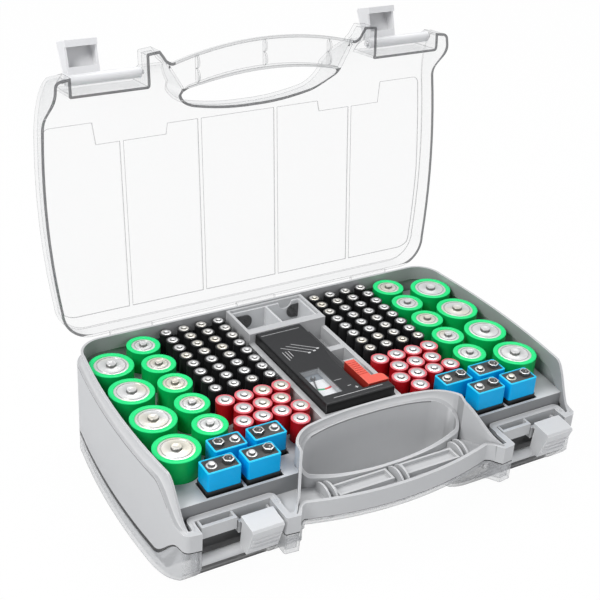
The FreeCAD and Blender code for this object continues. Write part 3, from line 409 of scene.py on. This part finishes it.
def clear_plastic(name, tint, face, grazing, power, line, seat=None, dark=CLEAR_LINE, hollow=None):
    """Bare face on, greyer at a slant, and painted dark along corners and outlines, where light is bent
    away from the eye. A seat adds a painted shadow line on the lid and a hollow a patch of painted shade;
    both are the lid's own and turn with it."""
    finish = Finish(name)
    facing = finish.value("ShaderNodeLayerWeight", None, {"Blend": 0.5}, "Facing")
    haze = finish.noise(22.0, 3.0)
    corner = finish.corner(LID_CORNER)
    if seat:
        corner = corner.at_least(seat(finish))
    pale = tuple(min(1.0, c * 1.06) for c in tint[:3]) + (1.0,)
    tinted = finish.between(haze, tint, pale)
    cover = facing.power(power) * (grazing - face) + face + corner * line
    if hollow:
        shaded = hollow(*finish.axes())
        tinted = finish.between(shaded, tinted, HOLLOW_SHADE)
        cover = cover + shaded * HOLLOW_COVER
    outline = facing.power(10.0) * 0.8
    shade = finish.between(corner.at_least(outline), tinted, dark)
    cover = cover.at_most(MOST_COVER)
    rough = haze * 0.05 + 0.06
    return finish.surface(Base_Color=shade, Roughness=rough, Alpha=cover, IOR=1.45)


upper_finish = clear_plastic("clear_plastic", CLEAR_TINT, face=0.04, grazing=0.36, power=3.0,
                             line=0.8, seat=upper_seat)
dress(["upper_lid"], upper_finish)
lower_finish = clear_plastic("clear_plastic_over_case", OVER_TINT, face=0.24, grazing=0.66, power=2.0,
                             line=0.66, seat=lower_seat, dark=SHADE_LINE, hollow=latch_hollow)
dress(["lower_lid"], lower_finish)

# Latches: four hollow finger boxes with three grip ribs, each turning on its own barrel.
# Light grey polypropylene, paler and glossier than the case; the upper two are a paler copy of it, painted
# light.
LATCH_GREY = (0.62, 0.625, 0.63, 1.0)
LATCH_EDGE = (0.86, 0.86, 0.86, 1.0)
latch_finish = moulded("latch_plastic", LATCH_GREY, 0.34, 1200.0, LATCH_EDGE)
dress(["lower_latch_left", "lower_latch_right"], latch_finish)
# Painted light: the upper latches get a paler, lit copy of the latch plastic.
LATCH_LIT = (0.80, 0.80, 0.805, 1.0)
LATCH_LIT_EDGE = (0.90, 0.90, 0.90, 1.0)
lit_latch_finish = moulded("upper_latch_plastic", LATCH_LIT, 0.34, 1200.0, LATCH_LIT_EDGE)
dress(["upper_latch_left", "upper_latch_right"], lit_latch_finish)

# Tester: a black moulded housing with a sunken meter, a steel rail, and a red clamp that slides on it.
# The dial is a printed card with a green and a red arc under a clear window.
TESTER_BLACK = (0.028, 0.028, 0.029, 1.0)
TESTER_SIDE_SHADE = (0.004, 0.004, 0.004, 1.0)
TESTER_EDGE = (0.30, 0.30, 0.30, 1.0)
SLIDER_RED = (0.88, 0.12, 0.08, 1.0)
SLIDER_EDGE = (0.90, 0.22, 0.15, 1.0)
SLIDER_SIDE = (0.42, 0.03, 0.02, 1.0)
PRINT_WHITE = (0.62, 0.62, 0.62, 1.0)
WELL_GREY = (0.42, 0.43, 0.44, 1.0)
NEEDLE_BLACK = (0.02, 0.02, 0.02, 1.0)
NEEDLE_EDGE = (0.1, 0.1, 0.1, 1.0)
HOUSING_CORNER = 0.6 * MM
PRINT_DEPTH = 0.05 * MM
WELL_DEPTH = 0.5 * MM
WELL_MARGIN = 0.4 * MM
POINTERS = (((-22.0, 20.0), (-5.0, 6.0)), ((-17.0, 21.0), (0.0, 7.0)), ((-12.0, 22.0), (4.0, 9.0)))
SIGNS = ((-1.0, -46.0), (3.0, -50.0))
SIGN_HALF = 1.2
BAR_FIRST_X = -24.0
BAR_PITCH = 2.6
BAR_TOP_Y = 14.0
BAR_LOW_Y = 2.0
BAR_STEP = 2.0
RULES = (((3.0, -51.2), (3.0, -48.8), 0.6),
         ((-8.0, -36.0), (-2.0, -36.0), 0.4),
         ((-27.5, 41.5), (6.0, 41.5), 0.4))
housing_high = Vector(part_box("tester_case")[1])
dial_low, dial_high = (Vector(corner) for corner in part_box("tester_dial"))


def stroke(x, y, start, end, width):
    """A printed line from one point to another, in millimetres on the housing's top."""
    run = ((end[0] - start[0]) * MM, (end[1] - start[1]) * MM)
    across = x - start[0] * MM
    up = y - start[1] * MM
    share = (across * run[0] + up * run[1]) / (run[0] ** 2 + run[1] ** 2)
    share = share.at_least(0.0).at_most(1.0)
    return (across - share * run[0]).length_with(up - share * run[1]).under(width / 2 * MM)


def printed_housing():
    """Black moulded plastic with white rules and pointers on top, and a pale well under the window; its
    sides are painted darker as shade, and a painted highlight runs along its corners.
    """
    finish = Finish("printed_tester_plastic")
    x, y, z = finish.axes()
    cloud = finish.noise(14.0, 4.0)
    fine = finish.noise(1400.0, 2.0)
    plain = finish.between(cloud, tuple(c * 0.8 for c in TESTER_BLACK[:3]) + (1.0,), TESTER_BLACK)
    plain = finish.between(finish.normal_axes()[2].size(), TESTER_SIDE_SHADE, plain)
    edge_highlight = finish.between(finish.corner(HOUSING_CORNER), plain, TESTER_EDGE)
    marks = stroke(x, y, (-20.0, -55.5), (22.0, -55.5), 0.5)
    for start, end in POINTERS:
        marks = marks.at_least(stroke(x, y, start, end, 0.5))
        tip = (end[0] + 0.5, end[1] - 0.4)
        marks = marks.at_least(stroke(x, y, tip, (tip[0] - 0.9, tip[1] - 0.1), 1.7))
    for row in range(3):
        bar_x = BAR_FIRST_X + row * BAR_PITCH
        bar_end = (bar_x, BAR_LOW_Y + row * BAR_STEP)
        marks = marks.at_least(stroke(x, y, (bar_x, BAR_TOP_Y), bar_end, 0.5))
    for sign_x, sign_y in SIGNS:
        start = (sign_x - SIGN_HALF, sign_y)
        end = (sign_x + SIGN_HALF, sign_y)
        marks = marks.at_least(stroke(x, y, start, end, 0.6))
    for start, end, width in RULES:
        marks = marks.at_least(stroke(x, y, start, end, width))
    marks = marks * z.over(housing_high.z - PRINT_DEPTH)
    inked = finish.between(marks, edge_highlight, PRINT_WHITE)
    inside = x.over(dial_low.x - WELL_MARGIN) * x.under(dial_high.x + WELL_MARGIN)
    inside = inside * y.over(dial_low.y - WELL_MARGIN) * y.under(dial_high.y + WELL_MARGIN)
    shade = finish.between(inside * z.under(housing_high.z - WELL_DEPTH), inked, WELL_GREY)
    normal = finish.bump(fine, GRAIN_STRENGTH, GRAIN_DEPTH)
    finish.surface(Specular_IOR_Level=0.35)
    return finish.surface(Base_Color=shade, Roughness=fine * 0.1 + 0.26, Normal=normal)


dress(["tester_case"], printed_housing())
dress(["tester_rail"], moulded("rail_plastic", TESTER_BLACK, 0.4, 1400.0, TESTER_EDGE))


def slider_shade(finish, flat):
    """Deep red down the sides, where less light reaches it."""
    return finish.between(finish.normal_axes()[2].size(), SLIDER_SIDE, flat)


dress(["tester_slider"], moulded("slider_plastic", SLIDER_RED, 0.35, 900.0, SLIDER_EDGE, slider_shade))
dress(["tester_needle"], moulded("needle_metal", NEEDLE_BLACK, 0.4, 900.0, NEEDLE_EDGE))
PAPER_DULL = (0.78, 0.79, 0.80, 1.0)
PAPER_WHITE = (0.88, 0.89, 0.90, 1.0)
ARC_RED = (0.75, 0.03, 0.03, 1.0)
ARC_GREEN = (0.01, 0.35, 0.13, 1.0)
HEAD_STRIP = (0.22, 0.25, 0.28, 1.0)
HEAD_DEPTH = 8.0 * MM
HUB_X = -15.2 * MM
HUB_Y = -24.0 * MM
ARC_INNER = 11.5 * MM
ARC_OUTER = 13.6 * MM
ARC_DROP = 5.0 * MM
ARC_SPLIT = 0.5 * MM


def dial_card():
    """White card with a dark head strip and two arcs, drawn as rings about the needle's hub."""
    finish = Finish("dial_card")
    x, y = finish.axes()[:2]
    reach = (x - HUB_X).length_with(y - HUB_Y)
    ring = reach.over(ARC_INNER) * reach.under(ARC_OUTER) * y.under(HUB_Y - ARC_DROP)
    left = x.under(HUB_X - ARC_SPLIT)
    fibre = finish.noise(700.0, 2.0)
    paper = finish.between(fibre, PAPER_DULL, PAPER_WHITE)
    arcs = finish.between(left, ARC_RED, ARC_GREEN)
    drawn = finish.between(ring, paper, arcs)
    strip = y.over(dial_high.y - HEAD_DEPTH)
    shade = finish.between(strip, drawn, HEAD_STRIP)
    return finish.surface(Base_Color=shade, Roughness=fibre * 0.1 + 0.5)


dress(["tester_dial"], dial_card())
WINDOW_TINT = (0.7, 0.72, 0.74, 1.0)
window_finish = clear_plastic("window_plastic", WINDOW_TINT, face=0.03, grazing=0.3, power=3.0, line=0.2)
dress(["tester_window"], window_finish)

# Tray: a shallow clear box with a wall across it, which lifts out of its frame.
# The same clear styrene as the lids, a little greyer because its walls are seen through each other.
TRAY_TINT = (0.90, 0.91, 0.92, 1.0)
# The tray's corner colour is a painted highlight.
TRAY_LINE = (0.97, 0.97, 0.97, 1.0)
tray_finish = clear_plastic("tray_plastic", TRAY_TINT, face=0.40, grazing=0.75, power=1.8,
                            line=0.5, dark=TRAY_LINE)
dress(["cell_tray"], tray_finish)
tray_low, tray_high = (Vector(corner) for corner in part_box("cell_tray"))
TRAY_WALL = 1.4 * MM
SCOOP_SHADE = (0.07, 0.07, 0.07, 1.0)
PAD_THICK = 0.8 * MM
PAD_ROUND = 5.6 * MM
PAD_ROUNDS = 8
PAD_MARGIN = 3.6 * MM
PAD_LEFT_END = -13.0 * MM
PAD_RIGHT_START = 20.0 * MM
PAD_LOW_Z = tray_low.z + PAD_MARGIN
PAD_HIGH_Z = tray_high.z - PAD_MARGIN
CLOSE = 0.1 * MM
ROUND_SMOOTH = math.radians(40)


def round_edges(piece, wanted, offset, segments):
    """In edit mode, bevel the edges whose two ends are wanted."""
    bpy.ops.mesh.select_mode(type="EDGE")
    bm = bmesh.from_edit_mesh(piece.data)
    for edge in bm.edges:
        edge.select = wanted(*[corner.co for corner in edge.verts])
    bm.select_flush_mode()
    bmesh.update_edit_mesh(piece.data)
    bpy.ops.mesh.bevel(offset=offset, segments=segments)


def scoop_shade_plate(name, start, end, round_at):
    """A thin dark plate on the tray's back wall, rounded at the end that faces the middle; it stands in for
    the shade in one of the tray's finger scoops.
    """
    back_y = tray_high.y - TRAY_WALL
    middle = ((start + end) / 2, back_y - PAD_THICK / 2, (PAD_LOW_Z + PAD_HIGH_Z) / 2)
    size = (end - start, PAD_THICK, PAD_HIGH_Z - PAD_LOW_Z)
    bpy.ops.object.select_all(action="DESELECT")
    bpy.ops.mesh.primitive_cube_add(size=1, location=middle, scale=size)
    pad = bpy.context.object
    pad.name = name
    bpy.ops.object.transform_apply(location=True, rotation=True, scale=True)
    bpy.ops.object.mode_set(mode="EDIT")

    def at_end(first, second):
        return abs(first.y - second.y) > PAD_THICK / 2 and abs(first.x - round_at) < CLOSE

    round_edges(pad, at_end, PAD_ROUND, PAD_ROUNDS)
    bpy.ops.object.mode_set(mode="OBJECT")
    bpy.ops.object.shade_smooth_by_angle(angle=ROUND_SMOOTH)
    return pad


tray_side = tray_high.x - TRAY_WALL
pad_left = scoop_shade_plate("tray_scoop_shade_left", -tray_side, PAD_LEFT_END, PAD_LEFT_END)
pad_right = scoop_shade_plate("tray_scoop_shade_right", PAD_RIGHT_START, tray_side, PAD_RIGHT_START)
pad_finish = clear_plastic("tray_scoop_shade_plastic", SCOOP_SHADE, face=0.7, grazing=0.9, power=1.5, line=0.2)
for pad in (pad_left, pad_right):
    give(pad, pad_finish, "tray", None)

# Large and medium round cells: a green printed sleeve over a steel can, its edge rolled over the top,
# a dished steel cap with a raised post in the middle. Each stands loose in its socket.
GREEN = (0.001, 0.48, 0.105, 1.0)
GREEN_RIM = (0.02, 0.80, 0.24, 1.0)
CAP_STEEL = (0.90, 0.895, 0.885, 1.0)
CAP_CREAM = (0.84, 0.79, 0.68, 1.0)
CAP_SHADE_LINE = (0.06, 0.058, 0.055, 1.0)
CAP_CORNER = 0.5 * MM
ROLLED_DEPTH = 0.7 * MM
HAIR = 0.001 * MM
LARGE_SIDES = 56
LARGE_CAP_SIDES = 48
LARGE_CAP_INSET = 3.7 * MM
LARGE_RIM_RISE = 0.42 * MM
CAP_THICK = 0.4 * MM
POST_SHARE = 0.235


def work_top(mesh, high, steps):
    """In edit mode, work a top face inwards: each step insets it, then lifts or sinks it.
    A step that doesn't inset raises new walls instead."""
    bpy.ops.mesh.select_mode(type="FACE")
    bm = bmesh.from_edit_mesh(mesh)
    for face in bm.faces:
        face.select = face.normal.z > 0.9 and face.calc_center_median().z > high - HAIR
    bm.select_flush_mode()
    bmesh.update_edit_mesh(mesh)
    for inward, lift in steps:
        if inward:
            bpy.ops.mesh.inset(thickness=inward)
        if lift:
            move = {"value": (0, 0, lift)}
            if inward:
                bpy.ops.transform.translate(**move)
            else:
                bpy.ops.mesh.extrude_region_move(TRANSFORM_OT_translate=move)


def turned_post(name, radius, low, high, sides, steps):
    """A round post whose top face is worked inwards."""
    place = (0, 0, (low + high) / 2)
    bpy.ops.mesh.primitive_cylinder_add(vertices=sides, radius=radius, depth=high - low, location=place)
    post = bpy.context.object
    post.name = name
    bpy.ops.object.transform_apply(location=True, rotation=True, scale=True)
    bpy.ops.object.mode_set(mode="EDIT")
    work_top(post.data, high, steps)
    bpy.ops.object.mode_set(mode="OBJECT")
    bpy.ops.object.shade_smooth_by_angle(angle=ROUND_SMOOTH)
    return post


def stand_at(model, places, name):
    """Copies of a model, one at each place, joined into one piece; the model goes."""
    copies = []
    for x, y in places:
        copy = model.copy()
        copy.data = model.data.copy()
        copy.data.transform(Matrix.Translation((x, y, 0)))
        bpy.context.collection.objects.link(copy)
        copies.append(copy)
    bpy.data.objects.remove(model)
    bpy.ops.object.select_all(action="DESELECT")
    for copy in copies:
        copy.select_set(True)
    bpy.context.view_layer.objects.active = copies[0]
    bpy.ops.object.join()
    piece = bpy.context.object
    piece.name = name
    bpy.ops.object.select_all(action="DESELECT")
    return piece


def sleeve(name, colour, rim, top):
    """Printed film: deep colour on the side, paler where it rolls over the rim, with a soft sheen."""
    finish = Finish(name)
    rolled = finish.axes()[2].over(top - ROLLED_DEPTH)
    mottle = finish.noise(60.0, 3.0)
    deep = tuple(c * 0.8 for c in colour[:3]) + (1.0,)
    side = finish.between(mottle, deep, colour)
    shade = finish.between(rolled, side, rim)
    finish.surface(Specular_IOR_Level=0.18)
    return finish.surface(Base_Color=shade, Roughness=mottle * 0.08 + 0.3, Coat_Weight=0.03)


def plated_cap(name, colour):
    """Nickel-plated steel: fine scratches, a roughness that wanders, and painted shade along the pressed
    rings and down the sloped sides.
    """
    finish = Finish(name)
    wander = finish.noise(240.0, 3.0)
    scratch = finish.noise(2500.0, 1.0)
    aged = ((finish.noise(32.0, 1.0) - 0.51) * 6.0).at_least(0.0).at_most(1.0)
    deep = tuple(c * 0.88 for c in colour[:3]) + (1.0,)
    bare = finish.between(wander, deep, colour)
    bare = finish.between(aged, bare, CAP_CREAM)
    sloped = ((1.0 - finish.normal_axes()[2].size()) * 1.6).at_most(0.85)
    ring_shade = finish.corner(CAP_CORNER).at_least(sloped)
    shade = finish.between(ring_shade, bare, CAP_SHADE_LINE)
    rough = scratch * 0.12 + wander * 0.1 + 0.24
    return finish.surface(Base_Color=shade, Roughness=rough, Metallic=0.55)


cap_finish = plated_cap("cell_steel", CAP_STEEL)

D_RADIUS = 17.0 * MM
D_X = 146.1 * MM
D_PITCH = 38.3 * MM
C_RADIUS = 13.0 * MM
C_X = 113.2 * MM
C_BACK_Y = 73.5 * MM
C_PITCH = 28.9 * MM
d_places = [(side * D_X, D_PITCH * (row - 1.5)) for side in (-1, 1) for row in range(4)]
c_places = [(side * C_X, C_BACK_Y - C_PITCH * row) for side in (-1, 1) for row in range(5)]


def large_cells(letter, radius, places):
    """Sleeves with a rolled rim and a sunk floor, and the caps that lie in them."""
    sleeve_low, sleeve_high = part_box(letter + "_cells")
    cap_low, cap_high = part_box(letter + "_caps")
    top = sleeve_high[2]
    rim = [(0.4 * MM, 0.3 * MM), (0.5 * MM, 0.12 * MM), (2.5 * MM, 0.0)]
    rim += [(0.35 * MM, -0.2 * MM), (0.2 * MM, -0.8 * MM)]
    model = turned_post(letter + "_model", radius, sleeve_low[2], top - LARGE_RIM_RISE, LARGE_SIDES, rim)
    jackets = stand_at(model, places, letter + "_sleeves")
    green_finish = sleeve(letter + "_sleeve", GREEN, GREEN_RIM, top)
    give(jackets, green_finish, "case", letter + "_cells")
    post_top = cap_high[2]
    floor = cap_low[2] + CAP_THICK
    outer = radius - LARGE_CAP_INSET
    post_radius = radius * POST_SHARE
    cap_steps = [(0.4 * MM, 0.2 * MM), (1.5 * MM, 0.0), (0.3 * MM, -0.3 * MM), (0.4 * MM, 0.0)]
    cap_steps += [(0.3 * MM, 0.3 * MM), (outer - post_radius - 3.4 * MM, 0.0), (0.5 * MM, 0.2 * MM)]
    risen = floor + 0.4 * MM
    cap_steps += [(0, post_top - risen - 0.35 * MM), (0.3 * MM, 0.35 * MM)]
    cap_steps += [(1.6 * MM, 0.0), (0.6 * MM, -0.12 * MM)]
    cap = turned_post(letter + "_cap_model", outer, cap_low[2], floor, LARGE_CAP_SIDES, cap_steps)
    caps = stand_at(cap, places, letter + "_cell_caps")
    give(caps, cap_finish, "case", letter + "_caps")


large_cells("d", D_RADIUS, d_places)
large_cells("c", C_RADIUS, c_places)

# Slim cells: red and black printed sleeves, rolled over at the top round a plated cap with a small post.
# Each stands in a round socket, so only its upper part shows.
RED = (0.50, 0.006, 0.012, 1.0)
RED_RIM = (0.80, 0.16, 0.19, 1.0)
BLACK = (0.016, 0.016, 0.017, 1.0)
BLACK_RIM = (0.05, 0.05, 0.05, 1.0)
AA_RADIUS = 7.1 * MM
AA_NUB = 1.3 * MM
AAA_RADIUS = 5.15 * MM
AAA_NUB = 1.2 * MM
SLIM_SIDES = 24
SLIM_CAP_SIDES = 20
SLIM_RIM_RISE = 0.25 * MM
SLIM_CAP_SHARE = 0.80
SLIM_NUB_SHARE = 0.37
AA_ROW_Y = (-19.7, -34.3, -48.5, -62.7)
AA_ROW_COUNT = (4, 3, 4, 1)
AA_ROW_FIRST = (43.8, 51.8, 43.8, 51.8)
AA_PITCH = 15.4
AAA_FIRST_X = 44.6
AAA_PITCH_X = 15.2
AAA_BACK_Y = 82.0
AAA_PITCH_Y = 12.3
AAA_ROWS = 8
AAA_COLUMNS = 4
aa_places = []
aaa_places = []
for side in (-1, 1):
    for row_y, count, first in zip(AA_ROW_Y, AA_ROW_COUNT, AA_ROW_FIRST):
        for column in range(count):
            aa_places.append((side * (first + AA_PITCH * column) * MM, row_y * MM))
    for row in range(AAA_ROWS):
        for column in range(AAA_COLUMNS):
            across = side * (AAA_FIRST_X + AAA_PITCH_X * column) * MM
            aaa_places.append((across, (AAA_BACK_Y - AAA_PITCH_Y * row) * MM))


def slim_cells(node, radius, nub_rise, places, colour, rim):
    """Sleeves rolled over at the top, and the caps whose posts stand out of them."""
    low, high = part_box(node)
    top = high[2] - nub_rise
    edge = [(0.3 * MM, 0.18 * MM), (radius * 0.16, 0.06 * MM), (0.25 * MM, -0.3 * MM)]
    model = turned_post(node + "_model", radius, low[2], top - SLIM_RIM_RISE, SLIM_SIDES, edge)
    jackets = stand_at(model, places, node + "_sleeves")
    give(jackets, sleeve(node + "_sleeve", colour, rim, top), "case", node)
    cap_radius = radius * SLIM_CAP_SHARE
    nub = radius * SLIM_NUB_SHARE
    steps = [(0.3 * MM, 0.2 * MM), (cap_radius - nub - 0.5 * MM, 0.0)]
    steps += [(0, nub_rise - 0.25 * MM), (0.3 * MM, 0.2 * MM)]
    cap_low = top - 1.0 * MM
    cap_high = top - 0.15 * MM
    cap = turned_post(node + "_cap_model", cap_radius, cap_low, cap_high, SLIM_CAP_SIDES, steps)
    caps = stand_at(cap, places, node + "_caps")
    give(caps, cap_finish, "case", None)


slim_cells("aa_cells", AA_RADIUS, AA_NUB, aa_places, RED, RED_RIM)
slim_cells("aaa_cells", AAA_RADIUS, AAA_NUB, aaa_places, BLACK, BLACK_RIM)

# Square cells: a blue sleeve crimped over a black top plate that carries a round and a six-sided snap stud.
# Below the sleeve they are black where they go into their sockets.
BLUE = (0.0, 0.49, 0.97, 1.0)
BLUE_RIM = (0.03, 0.66, 1.0, 1.0)
SQUARE_WIDTH = 25.5 * MM
SQUARE_DEPTH = 16.0 * MM
SQUARE_CORNER = 1.8 * MM
CORNER_ROUNDS = 4
STUD_X = 6.35 * MM
STUD_RADIUS = 3.9 * MM
CROWN_RADIUS = 4.3 * MM
STUD_SIDES = 28
CROWN_SIDES = 6
SQUARE_RIM_RISE = 0.4 * MM
PLATE_INSET = 2.9 * MM
PLATE_BLACK = (0.03, 0.029, 0.028, 1.0)
PLATE_EDGE = (0.12, 0.12, 0.12, 1.0)
BASE_BLACK = (0.012, 0.012, 0.012, 1.0)
BASE_EDGE = (0.06, 0.06, 0.06, 1.0)
left_group = [(-127.0, -85.0), (-96.6, -85.0), (-112.0, -65.2), (-81.0, -65.2)]
right_group = [(-x, y) for x, y in left_group]
crown_on_left = (False, False, True, True, False, False, False, False)
square_places = [(x * MM, y * MM) for x, y in left_group + right_group]


def square_block(name, width, depth, low, high, corner, steps):
    """A block with rounded upright corners, whose top face is worked inwards."""
    middle = (0, 0, (low + high) / 2)
    size = (width, depth, high - low)
    bpy.ops.mesh.primitive_cube_add(size=1, location=middle, scale=size)
    block = bpy.context.object
    block.name = name
    bpy.ops.object.transform_apply(location=True, rotation=True, scale=True)
    bpy.ops.object.mode_set(mode="EDIT")

    def upright(first, second):
        return abs(first.z - second.z) > (high - low) * 0.9

    round_edges(block, upright, corner, CORNER_ROUNDS)
    work_top(block.data, high, steps)
    bpy.ops.object.mode_set(mode="OBJECT")
    bpy.ops.object.shade_smooth_by_angle(angle=ROUND_SMOOTH)
    return block


square_low, square_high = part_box("nine_volt_cells")
square_top = square_high[2]
rolled_edge = [(0.35 * MM, 0.3 * MM), (0.75 * MM, 0.1 * MM), (0.3 * MM, -0.5 * MM)]
jacket = square_block("square_model", SQUARE_WIDTH, SQUARE_DEPTH,
                      square_low[2], square_top - SQUARE_RIM_RISE, SQUARE_CORNER, rolled_edge)
square_sleeves = stand_at(jacket, square_places, "square_sleeves")
blue_finish = sleeve("blue_sleeve", BLUE, BLUE_RIM, square_top)
give(square_sleeves, blue_finish, "case", "nine_volt_cells")

plate = square_block("plate_model", SQUARE_WIDTH - PLATE_INSET, SQUARE_DEPTH - PLATE_INSET,
                     square_top - 1.2 * MM, square_top - 0.35 * MM, 1.0 * MM, [(0.2 * MM, 0.1 * MM)])
plates = stand_at(plate, square_places, "square_top_plates")
plate_finish = moulded("top_plate", PLATE_BLACK, 0.5, 2200.0, PLATE_EDGE)
give(plates, plate_finish, "case", None)

band_low, band_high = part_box("nine_volt_bands")
band = square_block("band_model", SQUARE_WIDTH + 1.2 * MM, SQUARE_DEPTH + 1.0 * MM,
                    band_low[2], band_high[2] - 0.05 * MM, SQUARE_CORNER, [(0.3 * MM, 0.0)])
bands = stand_at(band, square_places, "square_bases")
base_finish = moulded("square_base", BASE_BLACK, 0.4, 1500.0, BASE_EDGE)
give(bands, base_finish, "case", "nine_volt_bands")

stud_low, stud_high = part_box("nine_volt_studs")
stud_rise = stud_high[2] - stud_low[2]
round_steps = [(0.25 * MM, 0.15 * MM), (1.15 * MM, 0.0), (0, 0.9 * MM), (-1.0 * MM, 0.25 * MM)]
round_steps += [(0, 0.65 * MM), (0.6 * MM, 0.3 * MM), (0.6 * MM, 0.08 * MM)]
round_places = []
crown_places = []
for (x, y), flipped in zip(square_places, crown_on_left):
    turn = -1 if flipped else 1
    round_places.append((x - turn * STUD_X, y))
    crown_places.append((x + turn * STUD_X, y))
stud_base = square_top - 0.4 * MM
stud = turned_post("stud_model", STUD_RADIUS, stud_base, stud_base + 0.3 * MM, STUD_SIDES, round_steps)
round_studs = stand_at(stud, round_places, "round_studs")
give(round_studs, cap_finish, "case", "nine_volt_studs")
crown_steps = [(0.3 * MM, 0.1 * MM), (0.5 * MM, 0.0), (0.2 * MM, -1.1 * MM), (1.0 * MM, -0.9 * MM)]
crown_top = stud_base + stud_rise - 0.2 * MM
crown = turned_post("crown_model", CROWN_RADIUS, stud_base, crown_top, CROWN_SIDES, crown_steps)
crowns = stand_at(crown, crown_places, "crown_studs")
CROWN_SHADE = ((0.10, 0.10, 0.10, 1.0), (0.22, 0.215, 0.21, 1.0))
CROWN_HIGHLIGHT = ((0.62, 0.615, 0.60, 1.0), (0.82, 0.815, 0.80, 1.0))
CROWN_EDGE = 1.1 * MM
CROWN_FADE = 0.6 * MM


def crown_steel():
    """A painted highlight along the crown's top edge, and painted shade down its sides and in its hollow.
    """
    finish = Finish("crown_steel")
    z = finish.axes()[2]
    wander = finish.noise(300.0, 3.0)
    dark = finish.between(wander, *CROWN_SHADE)
    bright = finish.between(wander, *CROWN_HIGHLIGHT)
    top = ((z - (stud_high[2] - CROWN_EDGE)) / CROWN_FADE).at_least(0.0).at_most(1.0)
    shade = finish.between(top, dark, bright)
    return finish.surface(Base_Color=shade, Roughness=wander * 0.15 + 0.25, Metallic=0.6)


give(crowns, crown_steel(), "case", None)

# Table, light and camera: a plain white table under soft, even light from above.
# The table is a bare sheet just under the case; it is the stage and no piece of the object.
TABLE_WHITE = (0.85, 0.85, 0.85, 1.0)
TABLE_WIDTH = 12.0
TABLE_GAP = 0.5 * MM
GLOW_SHARE = 0.98
SKY_TINT = (0.93, 0.95, 1.0, 1.0)
SKY_STRENGTH = 0.40
PURE_WHITE = (1.0, 1.0, 1.0, 1.0)
LIGHT_AIM = (0, 0, 0.05)
camera_data = bpy.data.cameras.new("camera")
camera = bpy.data.objects.new("camera", camera_data)
bpy.context.collection.objects.link(camera)
CAMERA_PLACE = (-432.78 * MM, -665.17 * MM, 578.68 * MM)
AZIMUTH = math.radians(-31.82)
ELEVATION = math.radians(29.34)
ROLL = math.radians(3.81)
camera_data.sensor_width = 36.0
camera_data.lens = 73.14
level_run = math.cos(ELEVATION)
back = Vector((math.sin(AZIMUTH) * level_run, -math.cos(AZIMUTH) * level_run, math.sin(ELEVATION)))
level = Vector((math.cos(AZIMUTH), math.sin(AZIMUTH), 0))
upward = back.cross(level)
right = level * math.cos(ROLL) + upward * math.sin(ROLL)
up = upward * math.cos(ROLL) - level * math.sin(ROLL)
pose = Matrix((right, up, back)).transposed().to_4x4()
pose.translation = CAMERA_PLACE
camera.matrix_world = pose
camera_data.clip_start = 0.01
camera_data.clip_end = 50.0
bpy.context.scene.camera = camera

bpy.ops.mesh.primitive_plane_add(size=TABLE_WIDTH, location=(0, 0, -TABLE_GAP))
table = bpy.context.object
table.name = "table"
table_finish = Finish("table_white")
ray = table_finish.node("ShaderNodeLightPath")
glow = table_finish.node("ShaderNodeEmission", None, {"Color": PURE_WHITE, "Strength": 1.0})
table_finish.surface(Base_Color=TABLE_WHITE, Roughness=0.9)
direct = Value(table_finish, ray.outputs["Is Camera Ray"])
through = Value(table_finish, ray.outputs["Is Transmission Ray"])
seen = direct + through
blend = table_finish.node("ShaderNodeMixShader")
table_finish.feed(blend.inputs[0], seen * GLOW_SHARE)
table_out = table_finish.tree.nodes["Material Output"]
table_finish.feed(blend.inputs[1], table_finish.shader.outputs[0])
table_finish.feed(blend.inputs[2], glow.outputs[0])
table_finish.feed(table_out.inputs["Surface"], blend.outputs[0])
table.data.materials.append(table_finish.material)

world = bpy.data.worlds.new("studio")
bpy.context.scene.world = world
world.use_nodes = True
world_nodes = world.node_tree.nodes
world_links = world.node_tree.links
soft = world_nodes["Background"]
soft.inputs["Color"].default_value = SKY_TINT
soft.inputs["Strength"].default_value = SKY_STRENGTH
white = world_nodes.new("ShaderNodeBackground")
white.inputs["Color"].default_value = PURE_WHITE
white.inputs["Strength"].default_value = 1.0
path = world_nodes.new("ShaderNodeLightPath")
either = world_nodes.new("ShaderNodeMath")
either.operation = "MAXIMUM"
world_links.new(path.outputs["Is Camera Ray"], either.inputs[0])
world_links.new(path.outputs["Is Transmission Ray"], either.inputs[1])
choice = world_nodes.new("ShaderNodeMixShader")
world_links.new(either.outputs[0], choice.inputs[0])
world_links.new(soft.outputs[0], choice.inputs[1])
world_links.new(white.outputs[0], choice.inputs[2])
world_links.new(choice.outputs[0], world_nodes["World Output"].inputs["Surface"])


def soft_box(name, place, aim, size, watts):
    """A rectangular studio lamp turned towards a point."""
    data = bpy.data.lights.new(name, "AREA")
    data.shape = "RECTANGLE"
    data.size = size[0]
    data.size_y = size[1]
    data.energy = watts
    lamp = bpy.data.objects.new(name, data)
    bpy.context.collection.objects.link(lamp)
    lamp.location = place
    lamp.rotation_euler = (Vector(aim) - Vector(place)).to_track_quat("-Z", "Y").to_euler()


soft_box("key_light", (-1.3, -0.3, 1.3), LIGHT_AIM, (0.8, 0.8), 18.0)
soft_box("fill_light", (0.5, -1.5, 0.8), LIGHT_AIM, (1.0, 1.0), 4.0)
soft_box("top_light", (0.5, 0.6, 1.6), LIGHT_AIM, (1.0, 0.8), 14.0)

bpy.context.scene.view_settings.view_transform = "Standard"
